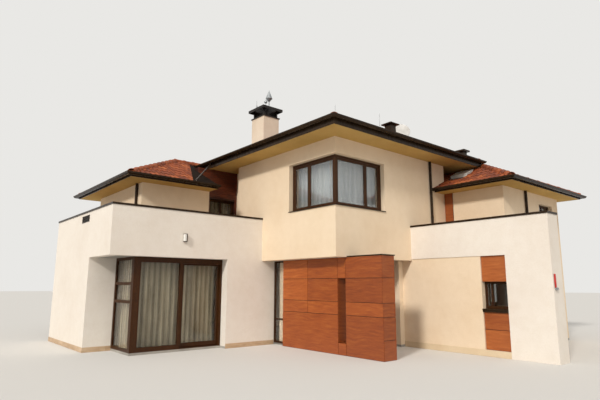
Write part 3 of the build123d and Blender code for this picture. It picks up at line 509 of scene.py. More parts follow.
    # Honed sandstone tile: warm beige with slow veins, each tile with its own tone
    m["stone"], tree, shader = fresh("honed_sandstone")
    veins = noise_of(tree, place_of(tree, (1.0, 1.0, 3.0)), 3.0, 6.0, 0.65)
    stone = ramp(tree, veins, [(0.3, "#b59877"), (0.5, "#c6aa8a"), (0.72, "#d2b899")])
    own = ramp(tree, own_of(tree, "tone"), [(0.0, "#e6ded4"), (1.0, "#ffffff")])
    pits = noise_of(tree, place_of(tree), 90.0, 2.0)
    join_up(tree, shader, {"Base Color": blend_colours(tree, "MULTIPLY", 0.8, stone, own),
                           "Normal": bump_of(tree, pits, 0.5, 0.3)}, {"Roughness": 0.6})
    return m


MATS = make_materials()


# Geometry Nodes trees

def start_tree(name, sockets):
    """A Geometry Nodes tree with named inputs, and the outputs of its input node."""
    tree = bpy.data.node_groups.new(name, "GeometryNodeTree")
    for way in ("INPUT", "OUTPUT"):
        tree.interface.new_socket(name="Geometry", in_out=way, socket_type="NodeSocketGeometry")
    for label, kind, value in sockets:
        made = tree.interface.new_socket(name=label, in_out="INPUT", socket_type="NodeSocket" + kind)
        if value is not None:
            made.default_value = value
    return tree, put(tree, "NodeGroupInput").outputs


def end_tree(tree, out, points, turn):
    """Sets the shape on the points, gives each copy its own tone, makes the copies real and coats them."""
    shape = put(tree, "GeometryNodeObjectInfo", {"Object": out["Shape"]})
    copies = put(tree, "GeometryNodeInstanceOnPoints", {"Points": points, "Rotation": turn,
                                                        "Instance": shape.outputs["Geometry"]})
    tone = put(tree, "FunctionNodeRandomValue", {2: 0.0, 3: 1.0, "Seed": out["Seed"]}, data_type="FLOAT")
    toned = put(tree, "GeometryNodeStoreNamedAttribute", {"Geometry": copies.outputs[0], "Name": "tone",
                                                          "Value": tone.outputs[1]},
                data_type="FLOAT", domain="INSTANCE")
    real = put(tree, "GeometryNodeRealizeInstances", {"Geometry": toned.outputs[0]})
    coated = put(tree, "GeometryNodeSetMaterial", {"Geometry": real.outputs[0], "Material": out["Material"]})
    put(tree, "NodeGroupOutput", {0: coated.outputs[0]})
    return tree


def course_tree():
    """Lays copies of a shape in straight courses over a flat field in X and Y."""
    tree, out = start_tree("laid_courses", (
        ("Shape", "Object", None), ("Columns", "Int", 10), ("Rows", "Int", 10), ("Pitch", "Float", 0.3),
        ("Gauge", "Float", 0.34), ("Tilt", "Float", 0.0), ("Wobble", "Float", 0.0), ("Seed", "Int", 3),
        ("Material", "Material", None)))
    wide = sum_of(tree, "MULTIPLY", sum_of(tree, "SUBTRACT", out["Columns"], 1.0), out["Pitch"])
    deep = sum_of(tree, "MULTIPLY", sum_of(tree, "SUBTRACT", out["Rows"], 1.0), out["Gauge"])
    grid = put(tree, "GeometryNodeMeshGrid", {"Size X": wide, "Size Y": deep, "Vertices X": out["Columns"],
                                              "Vertices Y": out["Rows"]})
    shift = put(tree, "ShaderNodeCombineXYZ", {0: sum_of(tree, "MULTIPLY", wide, 0.5),
                                               1: sum_of(tree, "MULTIPLY", deep, 0.5)})
    laid = put(tree, "GeometryNodeTransform", {"Geometry": grid.outputs[0], "Translation": shift.outputs[0]})
    jitter = put(tree, "FunctionNodeRandomValue", {0: (-1.0, -1.0, -1.0), 1: (1.0, 1.0, 1.0),
                                                   "Seed": out["Seed"]}, data_type="FLOAT_VECTOR")
    small = put(tree, "ShaderNodeVectorMath", {0: jitter.outputs[0], "Scale": out["Wobble"]},
                operation="SCALE")
    lean = put(tree, "ShaderNodeCombineXYZ", {0: out["Tilt"]})
    turn = put(tree, "ShaderNodeVectorMath", {0: small.outputs[0], 1: lean.outputs[0]}, operation="ADD")
    return end_tree(tree, out, laid.outputs[0], turn.outputs[0])


def run_tree():
    """Sets copies of a shape along a path, its Y along the path and its Z up."""
    tree, out = start_tree("set_along_path", (
        ("Shape", "Object", None), ("Spacing", "Float", 0.5), ("Tilt", "Float", 0.0), ("Seed", "Int", 5),
        ("Material", "Material", None)))
    points = put(tree, "GeometryNodeCurveToPoints", {"Curve": out["Geometry"], "Length": out["Spacing"]},
                 mode="LENGTH")
    along_it = put(tree, "FunctionNodeAlignRotationToVector", {"Vector": points.outputs["Tangent"]}, axis="Y")
    upright = put(tree, "FunctionNodeAlignRotationToVector", {"Rotation": along_it.outputs[0],
                                                              "Vector": (0.0, 0.0, 1.0)},
                  axis="Z", pivot_axis="Y")
    lean = put(tree, "ShaderNodeCombineXYZ", {0: out["Tilt"]})
    by = put(tree, "FunctionNodeEulerToRotation", {0: lean.outputs[0]})
    turned = put(tree, "FunctionNodeRotateRotation", {"Rotation": upright.outputs[0],
                                                      "Rotate By": by.outputs[0]}, rotation_space="LOCAL")
    return end_tree(tree, out, points.outputs["Points"], turned.outputs[0])


COURSES = course_tree()
RUN = run_tree()


def grown(base, tree, values):
    """The mesh that a tree makes from an object; the object and its modifier are removed."""
    bpy.context.collection.objects.link(base)
    modifier = base.modifiers.new("repeat", "NODES")
    modifier.node_group = tree
    names = {item.name: item.identifier for item in tree.interface.items_tree if item.in_out == "INPUT"}
    for name, value in values.items():
        modifier[names[name]] = value
    bpy.context.view_layer.update()
    mesh = bpy.data.meshes.new_from_object(base.evaluated_get(bpy.context.evaluated_depsgraph_get()))
    bpy.data.objects.remove(base)
    return mesh


def template(bm, name):
    """A shape for the trees to copy."""
    bmesh.ops.recalc_face_normals(bm, faces=bm.faces)
    obj = bpy.data.objects.new(name, mesh_of(bm, name))
    bpy.context.collection.objects.link(obj)
    return obj


def path_object(points):
    """A straight-sided curve through points."""
    data = bpy.data.curves.new("path", "CURVE")
    data.dimensions = "3D"
    line = data.splines.new("POLY")
    line.points.add(len(points) - 1)
    for point, place in zip(line.points, points):
        point.co = (*place, 1.0)
    return bpy.data.objects.new("path", data)


def along(paths, shape, spacing, material, tilt=0.0, length=0.0):
    """Copies of a shape along several straight paths, as one bmesh.

    The copies keep about the spacing, and the last one, of the given length, ends where its path ends.
    """
    first_seed = 5
    whole = bmesh.new()
    for seed, (start, end) in enumerate(paths, first_seed):
        run = Vector(end) - Vector(start)
        room = run.length - length
        step = room / max(1, math.ceil(room / spacing))
        points = [start, tuple(Vector(start) + run.normalized() * (room + 0.001))]
        absorb(whole, grown(path_object(points), RUN, {"Shape": shape, "Spacing": step, "Tilt": tilt,
                                                       "Seed": seed, "Material": MATS[material]}))
    bpy.data.objects.remove(shape)
    return whole


def laid_field(shape, columns, rows, pitch, gauge, tilt, wobble, seed, material):
    """Copies of a shape in courses, as a bmesh that starts at the origin."""
    base = bpy.data.objects.new("field", bpy.data.meshes.new("field"))
    mesh = grown(base, COURSES, {"Shape": shape, "Columns": columns, "Rows": rows, "Pitch": pitch,
                                 "Gauge": gauge, "Tilt": tilt, "Wobble": wobble, "Seed": seed,
                                 "Material": MATS[material]})
    bpy.data.objects.remove(shape)
    bm = bmesh.new()
    absorb(bm, mesh)
    return bm


# Sizes a user may change

class TileSizes(bpy.types.PropertyGroup):
    """Sizes of the roof tiles."""
    pitch: bpy.props.FloatProperty(name="Cover width", description="Width that one tile covers",
                                   default=0.30, min=0.1, unit="LENGTH")
    gauge: bpy.props.FloatProperty(name="Gauge", default=0.34, min=0.1, unit="LENGTH",
                                   description="Length of each tile left open by the course above")
    roll: bpy.props.FloatProperty(name="Roll", description="Height of each of a tile's two rolls",
                                  default=0.036, min=0.0, unit="LENGTH")
    body: bpy.props.FloatProperty(name="Thickness", description="Thickness of the fired clay",
                                  default=0.014, min=0.004, unit="LENGTH")
    lift: bpy.props.FloatProperty(name="Lift", description="Height of the tiles' undersides over the boards",
                                  default=0.006, min=0.0, unit="LENGTH")


class JoinerySizes(bpy.types.PropertyGroup):
    """Sizes of windows, panels and curtains."""
    joint: bpy.props.FloatProperty(name="Panel joint", description="Open joint between two facade panels",
                                   default=0.012, min=0.0, unit="LENGTH")
    panel: bpy.props.FloatProperty(name="Panel thickness", description="Thickness of a facade panel",
                                   default=0.012, min=0.002, unit="LENGTH")
    fold: bpy.props.FloatProperty(name="Fold pitch", description="Distance between two curtain folds",
                                  default=0.155, min=0.04, unit="LENGTH")
    lamp: bpy.props.FloatVectorProperty(name="Sky colour", description="Colour of the studio's soft light",
                                        subtype="COLOR", default=(1.0, 0.985, 0.96), min=0.0, max=1.0)


# Roof tiles

def roof_tile(sizes):
    """One interlocking tile with two rolls, closed all round, its lower edge at Y 0."""
    bm = bmesh.new()
    across = 12
    overlap = 0.06
    length = sizes.gauge + overlap
    sections = []
    for i in range(across + 1):
        u = i / across
        x = u * sizes.pitch * 0.996
        low = sizes.roll * (0.5 - 0.5 * math.cos(4 * math.pi * u)) ** 0.85
        high = low + sizes.body
        sections.append([(x, 0.0, low), (x, 0.0, high), (x, length, high), (x, length, low)])
    loft(bm, sections)
    return template(bm, "roof_tile")


def trim(bm, point, way):
    """Cuts away what lies past an upright plane through a plan point and closes the cut tiles."""
    whole = list(bm.verts) + list(bm.edges) + list(bm.faces)
    done = bmesh.ops.bisect_plane(bm, geom=whole, dist=1e-5, plane_co=(*point, 0.0), plane_no=(*way, 0.0),
                                  clear_outer=True)
    edges = [e for e in done["geom_cut"] if isinstance(e, bmesh.types.BMEdge) and e.is_valid]
    if edges:
        bmesh.ops.holes_fill(bm, edges=edges, sides=0)


def slope_field(sizes, roof, start, end, cuts, seed):
    """Tiles over one roof slope.

    roof holds the height of the boards at the eave, the slope, and the plan distance from eave to
    ridge. start and end are the eave's ends in plan, with the roof on the left of the way between
    them, and cuts the (point, outward normal) pairs in plan that trim the field.
    """
    foot, slope, rise = roof
    over, seat = 0.055, sizes.body + 0.004
    eave = Vector((end[0] - start[0], end[1] - start[1], 0.0))
    along_eave = eave.normalized()
    up = Vector((-along_eave.y, along_eave.x, slope)).normalized()
    normal = along_eave.cross(up)
    origin = Vector((*start, foot)) - up * over + normal * sizes.lift
    columns = int(math.ceil(eave.length / sizes.pitch)) + 1
    rows = int(math.ceil((rise * math.sqrt(1 + slope * slope) + over) / sizes.gauge)) + 1
    bm = laid_field(roof_tile(sizes), columns, rows, sizes.pitch, sizes.gauge, -math.atan2(seat, sizes.gauge),
                    0.004, seed, "tile")
    turn = Matrix((along_eave, up, normal)).transposed().to_4x4()
    bmesh.ops.transform(bm, matrix=Matrix.Translation(origin + normal * seat) @ turn, verts=bm.verts)
    for point, way in cuts:
        trim(bm, point, way)
    bmesh.ops.recalc_face_normals(bm, faces=bm.faces)
    return bm


def joined(fields):
    """One bmesh from several."""
    whole = bmesh.new()
    for bm in fields:
        absorb(whole, mesh_of(bm, "part"))
    return whole


def tiled_roof(name, sizes, roof, fields):
    """All slopes of one roof, each given as its eave's ends, its cuts and its seed."""
    finish_piece(name, joined(slope_field(sizes, roof, *field) for field in fields), "tile")


def keep_left(x):
    """A cut that keeps what lies left of a line in plan."""
    return (x, 0), (1, 0)


def keep_right(x):
    """A cut that keeps what lies right of a line in plan."""
    return (x, 0), (-1, 0)


def keep_front(y):
    """A cut that keeps what lies in front of a line in plan."""
    return (0, y), (0, 1)


def keep_back(y):
    """A cut that keeps what lies behind a line in plan."""
    return (0, y), (0, -1)


class HOUSE_OT_roof_tiles(bpy.types.Operator):
    """Lay the clay tiles in straight courses on every slope"""
    bl_idname = "house.roof_tiles"
    bl_label = "Roof tiles"

    def execute(self, context):
        sizes = context.scene.house_tiles
        x0, x1, y0, y1 = MAIN
        stack_low, stack_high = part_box("chimney_stack")
        beside = [keep_back(stack_low[1]), keep_front(stack_high[1])]
        hips = [((x0, y0), (1, -1)), ((x0, y1), (1, 1))]
        left_eave = ((x0, y1), (x0, y0))
        # The left slope is laid in four cut fields: in front of the stack, behind it and on its two sides
        tiled_roof("roof_tiles_main", sizes, (MAIN_FOOT, SLOPE, (y1 - y0) / 2), [
            ((x0, y0), (x1, y0), [((x0, y0), (-1, 1)), ((x1, y0), (1, 1))], 11),
            ((x1, y1), (x0, y1), [((x0, y1), (-1, -1)), ((x1, y1), (1, -1))], 12),
            ((x1, y0), (x1, y1), [((x1, y0), (-1, -1)), ((x1, y1), (-1, 1))], 13),
            (*left_eave, hips + [keep_front(stack_low[1])], 14),
            (*left_eave, hips + [keep_back(stack_high[1])], 14),
            (*left_eave, hips + beside + [keep_left(stack_low[0])], 14),
            (*left_eave, hips + beside + [keep_right(stack_high[0])], 14)])

        past_gutter = GUTTER + 0.02
        edge, front = MAIN[0] - past_gutter, MAIN[2] - past_gutter
        split = REAR[2]
        x0, x1, y0, y1 = LEFT
        ridge = (x0 + x1) / 2
        rise = ridge - x0
        foot, head = SHADE_SHEET_PLAN
        sheet_cut = (foot, (head[1] - foot[1], foot[0] - head[0]))
        # The right slope ends at the dark sheet of painted shade, then at the niche, then at the gutter of
        # the main block
        tiled_roof("roof_tiles_left", sizes, (LOWER_FOOT, LOWER_SLOPE, rise), [
            ((x0, y0), (x1, y0), [((x0, y0), (-1, 1)), ((x1, y0), (1, 1))], 21),
            ((x1, y0), (x1, NICHE_FRONT), [((x1, y0), (-1, -1)), keep_front(NICHE_FRONT), keep_right(ridge),
                                           sheet_cut], 22),
            ((x1, y0), (x1, front), [keep_back(NICHE_FRONT), keep_front(front), keep_right(ridge),
                                     keep_left(NICHE_WALL - 0.01), sheet_cut], 22),
            ((x1, y0), (x1, split), [keep_back(front), keep_front(split), keep_right(ridge),
                                     keep_left(edge)], 22),
            ((x0, split), (x0, y0), [((x0, y0), (1, -1)), keep_left(ridge), keep_front(split)], 23)])

        inner = x1
        x0, x1, y0, y1 = REAR
        crest = (y0 + y1) / 2
        # The slope ends a little below the soffit of the main roof
        meet = y0 + (MAIN_EAVE - 0.035 - LOWER_FOOT) / LOWER_SLOPE
        light_right, light_front, light_back = LIGHT[1] + 0.02, LIGHT[2] - APRON - 0.01, LIGHT[3] + 0.02
        right = MAIN[1] + past_gutter
        hip = ((x1, y0), (1, 1))
        valley = ((inner, y0), (-1, -1))
        eave = ((x0, y0), (x1, y0))
        # The front slope is laid in six cut fields round the roof light and the main block
        tiled_roof("roof_tiles_rear", sizes, (LOWER_FOOT, LOWER_SLOPE, crest - y0), [
            (*eave, [keep_right(right), hip, keep_front(crest)], 31),
            (*eave, [keep_right(BAY_RIGHT), keep_left(right), keep_front(light_front)], 31),
            (*eave, [keep_right(light_right), keep_left(right), keep_back(light_front), hip,
                     keep_front(meet)], 31),
            (*eave, [keep_right(BAY_RIGHT), keep_left(light_right), keep_back(light_back),
                     keep_front(meet)], 31),
            (*eave, [keep_left(BAY_RIGHT), keep_back(MAIN_BACK), valley, keep_front(meet)], 31),
            (*eave, [keep_left(right), keep_back(MAIN[3] + past_gutter), valley, hip, keep_front(crest),
                     keep_right(ridge)], 31),
            ((x1, y1), (x0, y1), [((x0, y1), (-1, -1)), ((x1, y1), (1, -1)), keep_back(crest)], 32),
            ((x1, y0), (x1, y1), [((x1, y0), (-1, -1)), ((x1, y1), (-1, 1))], 33),
            ((x0, y1), (x0, split), [((x0, y1), (1, 1)), keep_left(ridge), keep_back(split)], 34),
            ((inner, split), (inner, y1), [keep_back(split), ((inner, y0), (1, 1)), keep_right(ridge),
                                           keep_left(edge)], 35)])
        return {"FINISHED"}


class HOUSE_OT_ridge_tiles(bpy.types.Operator):
    """Bed the half-round ridge and hip tiles"""
    bl_idname = "house.ridge_tiles"
    bl_label = "Ridge and hip tiles"

    def execute(self, context):
        sizes = context.scene.house_tiles
        length, spacing, sides = 0.42, 0.36, 10
        stations = ((-0.02, 0.118), (0.05, 0.110), (0.055, 0.102), (length, 0.094))
        outline = [(y, r + sizes.body) for y, r in stations] + [(y, r) for y, r in reversed(stations)]
        bm = bmesh.new()
        angles = [math.pi * (i / sides - 0.5) * 1.04 for i in range(sides + 1)]
        loft(bm, [[(math.sin(a) * r, y, math.cos(a) * r) for y, r in outline] for a in angles])
        shape = template(bm, "ridge_tile")

        inset = 0.02
        up = sizes.lift - 0.012
        high, low = MAIN_FOOT + up, LOWER_FOOT + up
        x0, x1, y0, y1 = MAIN
        peak = ((x0 + x1) / 2, (y0 + y1) / 2, high + (y1 - y0) / 2 * SLOPE)
        paths = [[(px + qx * inset, py + qy * inset, high), peak]
                 for px, py, qx, qy in ((x0, y0, 1, 1), (x1, y0, -1, 1), (x1, y1, -1, -1), (x0, y1, 1, -1))]
        x0, x1, y0, y1 = LEFT
        half = (x1 - x0) / 2
        ridge = (x0 + x1) / 2
        top = low + half * LOWER_SLOPE
        peak = (ridge, y0 + half, top)
        paths += [[(x0 + inset, y0 + inset, low), peak], [(x1 - inset, y0 + inset, low), peak],
                  [peak, (ridge, REAR[2] + half, top)]]
        x0, x1, y0, y1 = REAR
        half = (y1 - y0) / 2
        crest = (y0 + y1) / 2
        top = low + half * LOWER_SLOPE
        peak = (x1 - half, crest, top)
        paths += [[(x1 - inset, y0 + inset, low), peak], [(x1 - inset, y1 - inset, low), peak],
                  [(x0 + inset, y1 - inset, low), (x0 + half, crest, top)],
                  [peak, (x0 + half - 0.05, crest, top)]]
        whole = along(paths, shape, spacing, "tile", tilt=0.03, length=length)
        finish_piece("ridge_tiles", whole, "tile")
        return {"FINISHED"}


# Facade panels

def panel_face(bm, sizes, axis, at, way, across, up, tone):
    """One panel, standing off the wall by its thickness, with eased edges."""
    half = sizes.joint / 2
    facing_box(bm, axis, (across[0] + half, across[1] - half), sorted((at, at + way * sizes.panel)),
               (up[0] + half, up[1] - half), 0.0015, tone)


class HOUSE_OT_timber_panels(bpy.types.Operator):
    """Hang the veneered panels of the blade wall, the strips and the niche"""
    bl_idname = "house.timber_panels"
    bl_label = "Timber panels"

    def execute(self, context):
        sizes = context.scene.house_joinery
        thick = sizes.panel
        self.blade(sizes, thick)
        self.strips(sizes, thick)
        self.niche()
        return {"FINISHED"}

    def blade(self, sizes, thick):
        low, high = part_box("timber_blade_wall")
        x0, x1 = low[0], high[0]
        core = (low[1] + thick, high[1] - thick)

        def tone_of(number):
            return BLADE_TONES[number % len(BLADE_TONES)]

        bm = bmesh.new()
        # The core behind the open joints takes tone 0: painted shade, near black
        for xs, zs in (((x0 + thick, SLOT_LEFT - thick), (0, high[2])),
                       ((SLOT_RIGHT + thick, x1 - thick), (0, high[2])),
                       ((SLOT_LEFT - thick, SLOT_RIGHT + thick), (0, SLOT_FOOT - thick)),
                       ((SLOT_LEFT - thick, SLOT_RIGHT + thick), (SLOT_TOP + thick, high[2]))):
            add_box(bm, xs, core, (zs[0], zs[1] - 0.001), 0, 0.0)
        over_slot = (SLOT_TOP, BLADE_ROWS[-1])
        count = 0
        for face, way in ((core[0], -1), (core[1], 1)):
            for k, zs in enumerate(zip(BLADE_ROWS, BLADE_ROWS[1:])):
                columns = [(x0, SLOT_LEFT), (SLOT_RIGHT, x1)]
                if k:
                    columns[:1] = [(x0, BLADE_JOINT), (BLADE_JOINT, SLOT_LEFT)]
                for xs in columns:
                    panel_face(bm, sizes, "y", face, way, xs, zs, tone_of(count))
                    count += 1
            panel_face(bm, sizes, "y", face, way, (SLOT_LEFT, SLOT_RIGHT), over_slot, 0.7)
            panel_face(bm, sizes, "y", face, way, (SLOT_LEFT, SLOT_RIGHT), (0.0, SLOT_FOOT), 0.6)
        rows = (BLADE_ROWS[0], BLADE_LOW_JOINT, *BLADE_ROWS[1:])
        for k, zs in enumerate(zip(rows, rows[1:])):
            # Painted shade: the end face looking +X takes lower tones than the front and back
            panel_face(bm, sizes, "x", x1 - thick, 1, core, zs, 0.30 + 0.3 * tone_of(k * 5 + 2))
            panel_face(bm, sizes, "x", x0 + thick, -1, core, zs, tone_of(k * 3 + 1))
        # Painted shade: the slot's reveals, head and sill take a low tone
        for at, way in ((SLOT_LEFT - thick, 1), (SLOT_RIGHT + thick, -1)):
            panel_face(bm, sizes, "x", at, way, core, (SLOT_FOOT, SLOT_TOP), 0.3)
        for zs in ((SLOT_FOOT - thick, SLOT_FOOT), (SLOT_TOP, SLOT_TOP + thick)):
            add_box(bm, (SLOT_LEFT, SLOT_RIGHT), core, zs, 0.001, 0.3)
        finish_piece("blade_panels", bm, "panel", "timber_blade_wall")

    def strips(self, sizes, thick):
        bm = bmesh.new()
        for (left, right, front, back), joints, first in (
                *((STRIP, joints, 0.9) for joints in STRIP_JOINTS), (REAR_STRIP, REAR_STRIP_JOINTS, 0.8)):
            # The strips' core takes tone 0: painted shade in their open joints
            add_box(bm, (left, right), (front + thick, back), (joints[0], joints[-1]), 0, 0.0)
            for k, zs in enumerate(zip(joints, joints[1:])):
                panel_face(bm, sizes, "y", front + thick, -1, (left, right), zs, first - 0.3 * k)
        finish_piece("strip_panels", bm, "strip", "timber_strips")

    def niche(self):
        (back, y0, z0), (face, y1, z1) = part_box("niche_timber_wall")
        left, right, foot, head = NICHE_DOOR
        bed = face - BOARD_THICK
        bm = bmesh.new()
        # The bed behind the boards takes a low tone: painted shade in the gaps between them
        for ys, zs in (((y0, left), (z0, z1)), ((right, y1), (z0, z1)), ((left, right), (head, z1)),
                       ((left, right), (z0, foot))):
            add_box(bm, (back, bed), ys, zs, 0, 0.1)
        z, number = z0, 0
        while z < z1 - 0.01:
            top = min(z + BOARD, z1)
            own = 0.4 + 0.6 * ((number * 7) % 5) / 5
            spans = [((y0, left), own), ((right, y1), own)]
            if z >= head - 0.01 or top <= foot + 0.01:
                spans.append(((left, right), 0.5))
            for (a, b), tone in spans:
                add_box(bm, (bed, face), (a + 0.001, b - 0.001), (z + 0.002, top - 0.003), 0.002, tone)
            z += BOARD
            number += 1
        finish_piece("niche_boards", bm, "niche", "niche_timber_wall")


# Windows

def window(bm, axis, plane, way, across, up, member, lights=(), transoms=()):
    """A lacquered window: outer frame, mullions and transoms, and a sash in each light.

    plane is the frame's outer face and way the direction it looks.
    """
    out = Vector((0, way, 0)) if axis == "y" else Vector((way, 0, 0))
    back = plane - way * SASH_DEPTH
    add_ring(bm, rectangle(axis, back, across, up), out, sash_section(member * 0.55, SASH_DEPTH, bead=0.006))
    xs = [across[0] + member * 0.5, *lights, across[1] - member * 0.5]
    zs = [up[0] + member * 0.5, *transoms, up[1] - member * 0.5]
    for wide in zip(xs, xs[1:]):
        for tall in zip(zs, zs[1:]):
            add_ring(bm, rectangle(axis, back + way * 0.006, wide, tall), out,
                     sash_section(member * 0.5, SASH_DEPTH - 0.016))


class HOUSE_OT_windows(bpy.types.Operator):
    """Make the window frames and sashes"""
    bl_idname = "house.windows"
    bl_label = "Windows"

    def execute(self, context):
        # Each window: facing axis, outer plane, way it looks, span, height, member, mullions, transoms;
        # each bar, a corner post or a heavier foot rail: spans in X, Y and Z and its chamfer
        wide, tall, small = 0.13, (3.85, 5.27), 0.08
        below, above = (1.2, (0.96, 2.26)), (1.0, (3.7, 4.6))
        hidden = [("x", -3.58, -1, (-2.2, 1.6, 6.2), below), ("x", -3.58, -1, (-1.9, 1.6, 6.2), above),
                  ("y", 8.76, 1, (-2.3, 1.2, 4.6), below), ("y", 8.76, 1, (-2.3, 1.2, 4.6), above),
                  ("x", 6.58, 1, (7.43,), (1.0, (3.7, 4.45)))]
        hidden = [(axis, plane, way, (a, a + width), up, small, (a + width / 2,))
                  for axis, plane, way, starts, (width, up) in hidden for a in starts]
        left, right, foot, head = NICHE_DOOR
        for name, node, windows, bars in (
                ("corner_window_sashes", "corner_window_frame",
                 [("y", 0.14, -1, (2.76, 4.56), tall, wide, (3.465,)),
                  ("x", 4.56, 1, (0.14, 2.0), tall, wide, (1.355,))],
                 [((4.485, 4.5606), (0.1394, 0.215), (tall[0] + 0.001, tall[1] - 0.001), 0.006)]),
                ("ground_window_sashes", "ground_window_frames",
                 [("y", 0.48, -1, (1.45, 2.0), (0.06, 2.5), 0.05, (), (0.75,)),
                  ("y", 3.33, -1, (6.88, 7.57), (1.15, 1.87), 0.06, (7.06,))],
                 [((6.881, 7.569), (3.322, 3.340), (1.181, 1.255), 0.004)]),
                ("niche_door_sashes", "niche_door",
                 [("x", -0.92, 1, (left, right), (foot, head), small, ((left + right) / 2,))], []),
                ("hidden_window_sashes", "hidden_window_frames", hidden, [])):
            bm = bmesh.new()
            for row in windows:
                window(bm, *row)
            for bar in bars:
                add_box(bm, *bar)
            finish_piece(name, bm, "frame", node, merge=True)

        bm = bmesh.new()
        low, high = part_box("sliding_leaf")
        corners = rectangle("x", low[0], (low[1], high[1]), (low[2], high[2]))
        add_ring(bm, corners, Vector((1, 0, 0)), sash_section(0.12, high[0] - low[0]))
        finish_piece("sliding_leaf_sash", bm, "frame", "sliding_leaf", body=LEAF, merge=True)
        return {"FINISHED"}


# Curtains

def curtain(name, axis, at, across, up, fold, seed, material):
    """A pleated curtain: deep folds that open and wander a little on the way down from the ceiling."""
    a, b = across
    low, high = up
    deep = 0.036
    steps = int(round((b - a) / fold)) * 14
    rows = 16
    bm = bmesh.new()
    layer = bm.verts.layers.float.new("fold")
    outward = 1 if axis == "x" else -1
    grid = []
    for k in range(rows + 1):
        drop = k / rows
        z = high + (low - high) * drop
        line = []
        for i in range(steps + 1):
            u = i / steps
            turn = 2 * math.pi * (b - a) * u / fold
            sway = 0.55 * math.sin(3.1 * u * (b - a) + seed) + 0.25 * math.sin(7.3 * u + 2.1 * drop + seed)
            swell = (0.62 + 0.38 * drop) * (0.8 + 0.2 * math.sin(2.3 * turn / 6 + seed))
            depth = deep * swell * math.sin(turn + sway)
            side = -0.075 * fold * math.sin(2 * (turn + sway)) * min(1.0, 12 * u, 12 * (1 - u))
            place = a + (b - a) * u + side
            v = bm.verts.new((place, at + depth, z) if axis == "y" else (at + depth, place, z))
            # How far forward the cloth lies, which the cloth's painted shade in the folds reads
            v[layer] = 0.5 + 0.5 * outward * depth / deep
            line.append(v)
        grid.append(line)
    flat = sum((two.co - one.co).length for one, two in zip(grid[-1], grid[-1][1:]))
    uv = bm.loops.layers.uv.new("UVMap")
    for k in range(rows):
        for i in range(steps):
            face = bm.faces.new((grid[k][i], grid[k][i + 1], grid[k + 1][i + 1], grid[k + 1][i]))
            for loop, (p, q) in zip(face.loops, ((i, k), (i + 1, k), (i + 1, k + 1), (i, k + 1))):
                loop[uv].uv = (flat * p / steps, (high - low) * (rows - q) / rows)
    if axis == "y":
        bmesh.ops.reverse_faces(bm, faces=bm.faces)
    piece = finish_piece(name, bm, material, "curtains", smooth=180.0)


class HOUSE_OT_curtains(bpy.types.Operator):
    """Hang the pleated curtains behind the glass"""
    bl_idname = "house.curtains"
    bl_label = "Curtains"

    def execute(self, context):
        fold = context.scene.house_joinery.fold
        ground, bay, niche = (0.08, 2.4997), (2.82, 5.7197), (2.82, 4.7497)
        for name, axis, at, across, up, wider, seed, material in (
                ("curtain_terrace_door", "x", 0.89, (-3.59, -1.34), ground, 1.0, 0.3, "cloth"),
                ("curtain_side_light", "y", -3.68, (-0.10, 0.81), ground, 1.0, 1.7, "cloth"),
                ("curtain_bay_front", "y", 0.44, (2.67, 4.15), bay, 1.3, 2.9, "voile"),
                ("curtain_bay_right", "x", 4.26, (0.41, 2.09), bay, 1.3, 4.1, "voile"),
                ("curtain_niche", "x", -1.24, (-0.63, 0.39), niche, 1.0, 5.2, "cloth")):
            curtain(name, axis, at, across, up, wider * fold, seed, material)
        return {"FINISHED"}


# Metalwork and small things

def eave_lines(plan, z, sides):
    """Lines just outside the chosen eaves of a roof, kept clear of its corners."""
    x0, x1, y0, y1 = plan
    inset, step = 0.281, 0.019
    lines = {"front": ((x0 + inset, y0 - step), (x1 - inset, y0 - step)),
             "right": ((x1 + step, y0 + inset), (x1 + step, y1 - inset)),
             "back": ((x1 - inset, y1 + step), (x0 + inset, y1 + step)),
             "left": ((x0 - step, y1 - inset), (x0 - step, y0 + inset))}
    return [[(*start, z), (*end, z)] for start, end in (lines[s] for s in sides)]


class HOUSE_OT_gutter_brackets(bpy.types.Operator):
    """Hang the gutters in brackets and clip the downspouts to the walls"""
    bl_idname = "house.gutter_brackets"
    bl_label = "Gutter brackets and pipe clips"

    def execute(self, context):
        bm = bmesh.new()
        bends, half, middle = 10, 0.012, 0.08
        outline = ((-half, 0.0790, 0.0803), (-half, 0.0797, 0.0835), (half, 0.0797, 0.0835),
                   (half, 0.0790, 0.0803))
        angles = [math.pi + math.pi * i / bends for i in range(bends + 1)]
        loft(bm, [[(math.cos(a) * wide + middle, y, math.sin(a) * deep) for y, wide, deep in outline]
                  for a in angles])
        strap = template(bm, "strap")
        high, low = MAIN_EAVE + 0.21, LOWER_EAVE + 0.11
        paths = eave_lines(MAIN, high, ("front", "right", "back", "left"))
        paths += eave_lines(LEFT, low, ("front", "left")) + eave_lines(REAR, low, ("right", "back"))
        x, y = LEFT[1] + 0.019, REAR[2] - 0.019
        paths += [[(x, LEFT[2] + 0.3, low), (x, NICHE_FRONT - 0.1, low)],
                  [(BAY_RIGHT + 0.15, y, low), (REAR[1] - 0.3, y, low)]]
        whole = along(paths, strap, 0.75, "metal")

        bm = bmesh.new()
        sides = 20
        outline = ((-0.018, 0.0402), (0.018, 0.0402), (0.018, 0.0445), (-0.018, 0.0445))
        loft(bm, [[(math.cos(a) * radius, z, math.sin(a) * radius) for z, radius in outline]
                  for a in [2 * math.pi * i / sides for i in range(sides)]], ring=True)
        paths = [[(x, y, foot), (x, y, head)] for x, y, foot, head in (
            (4.745, 4.25, 3.1, 5.5), (-0.3, -3.375, 3.1, 4.6), (6.745, 6.45, 0.4, 4.5))]
        absorb(whole, mesh_of(along(paths, template(bm, "clip"), 1.1, "metal"), "clips"))
        finish_piece("gutter_brackets", whole, "metal")
        return {"FINISHED"}


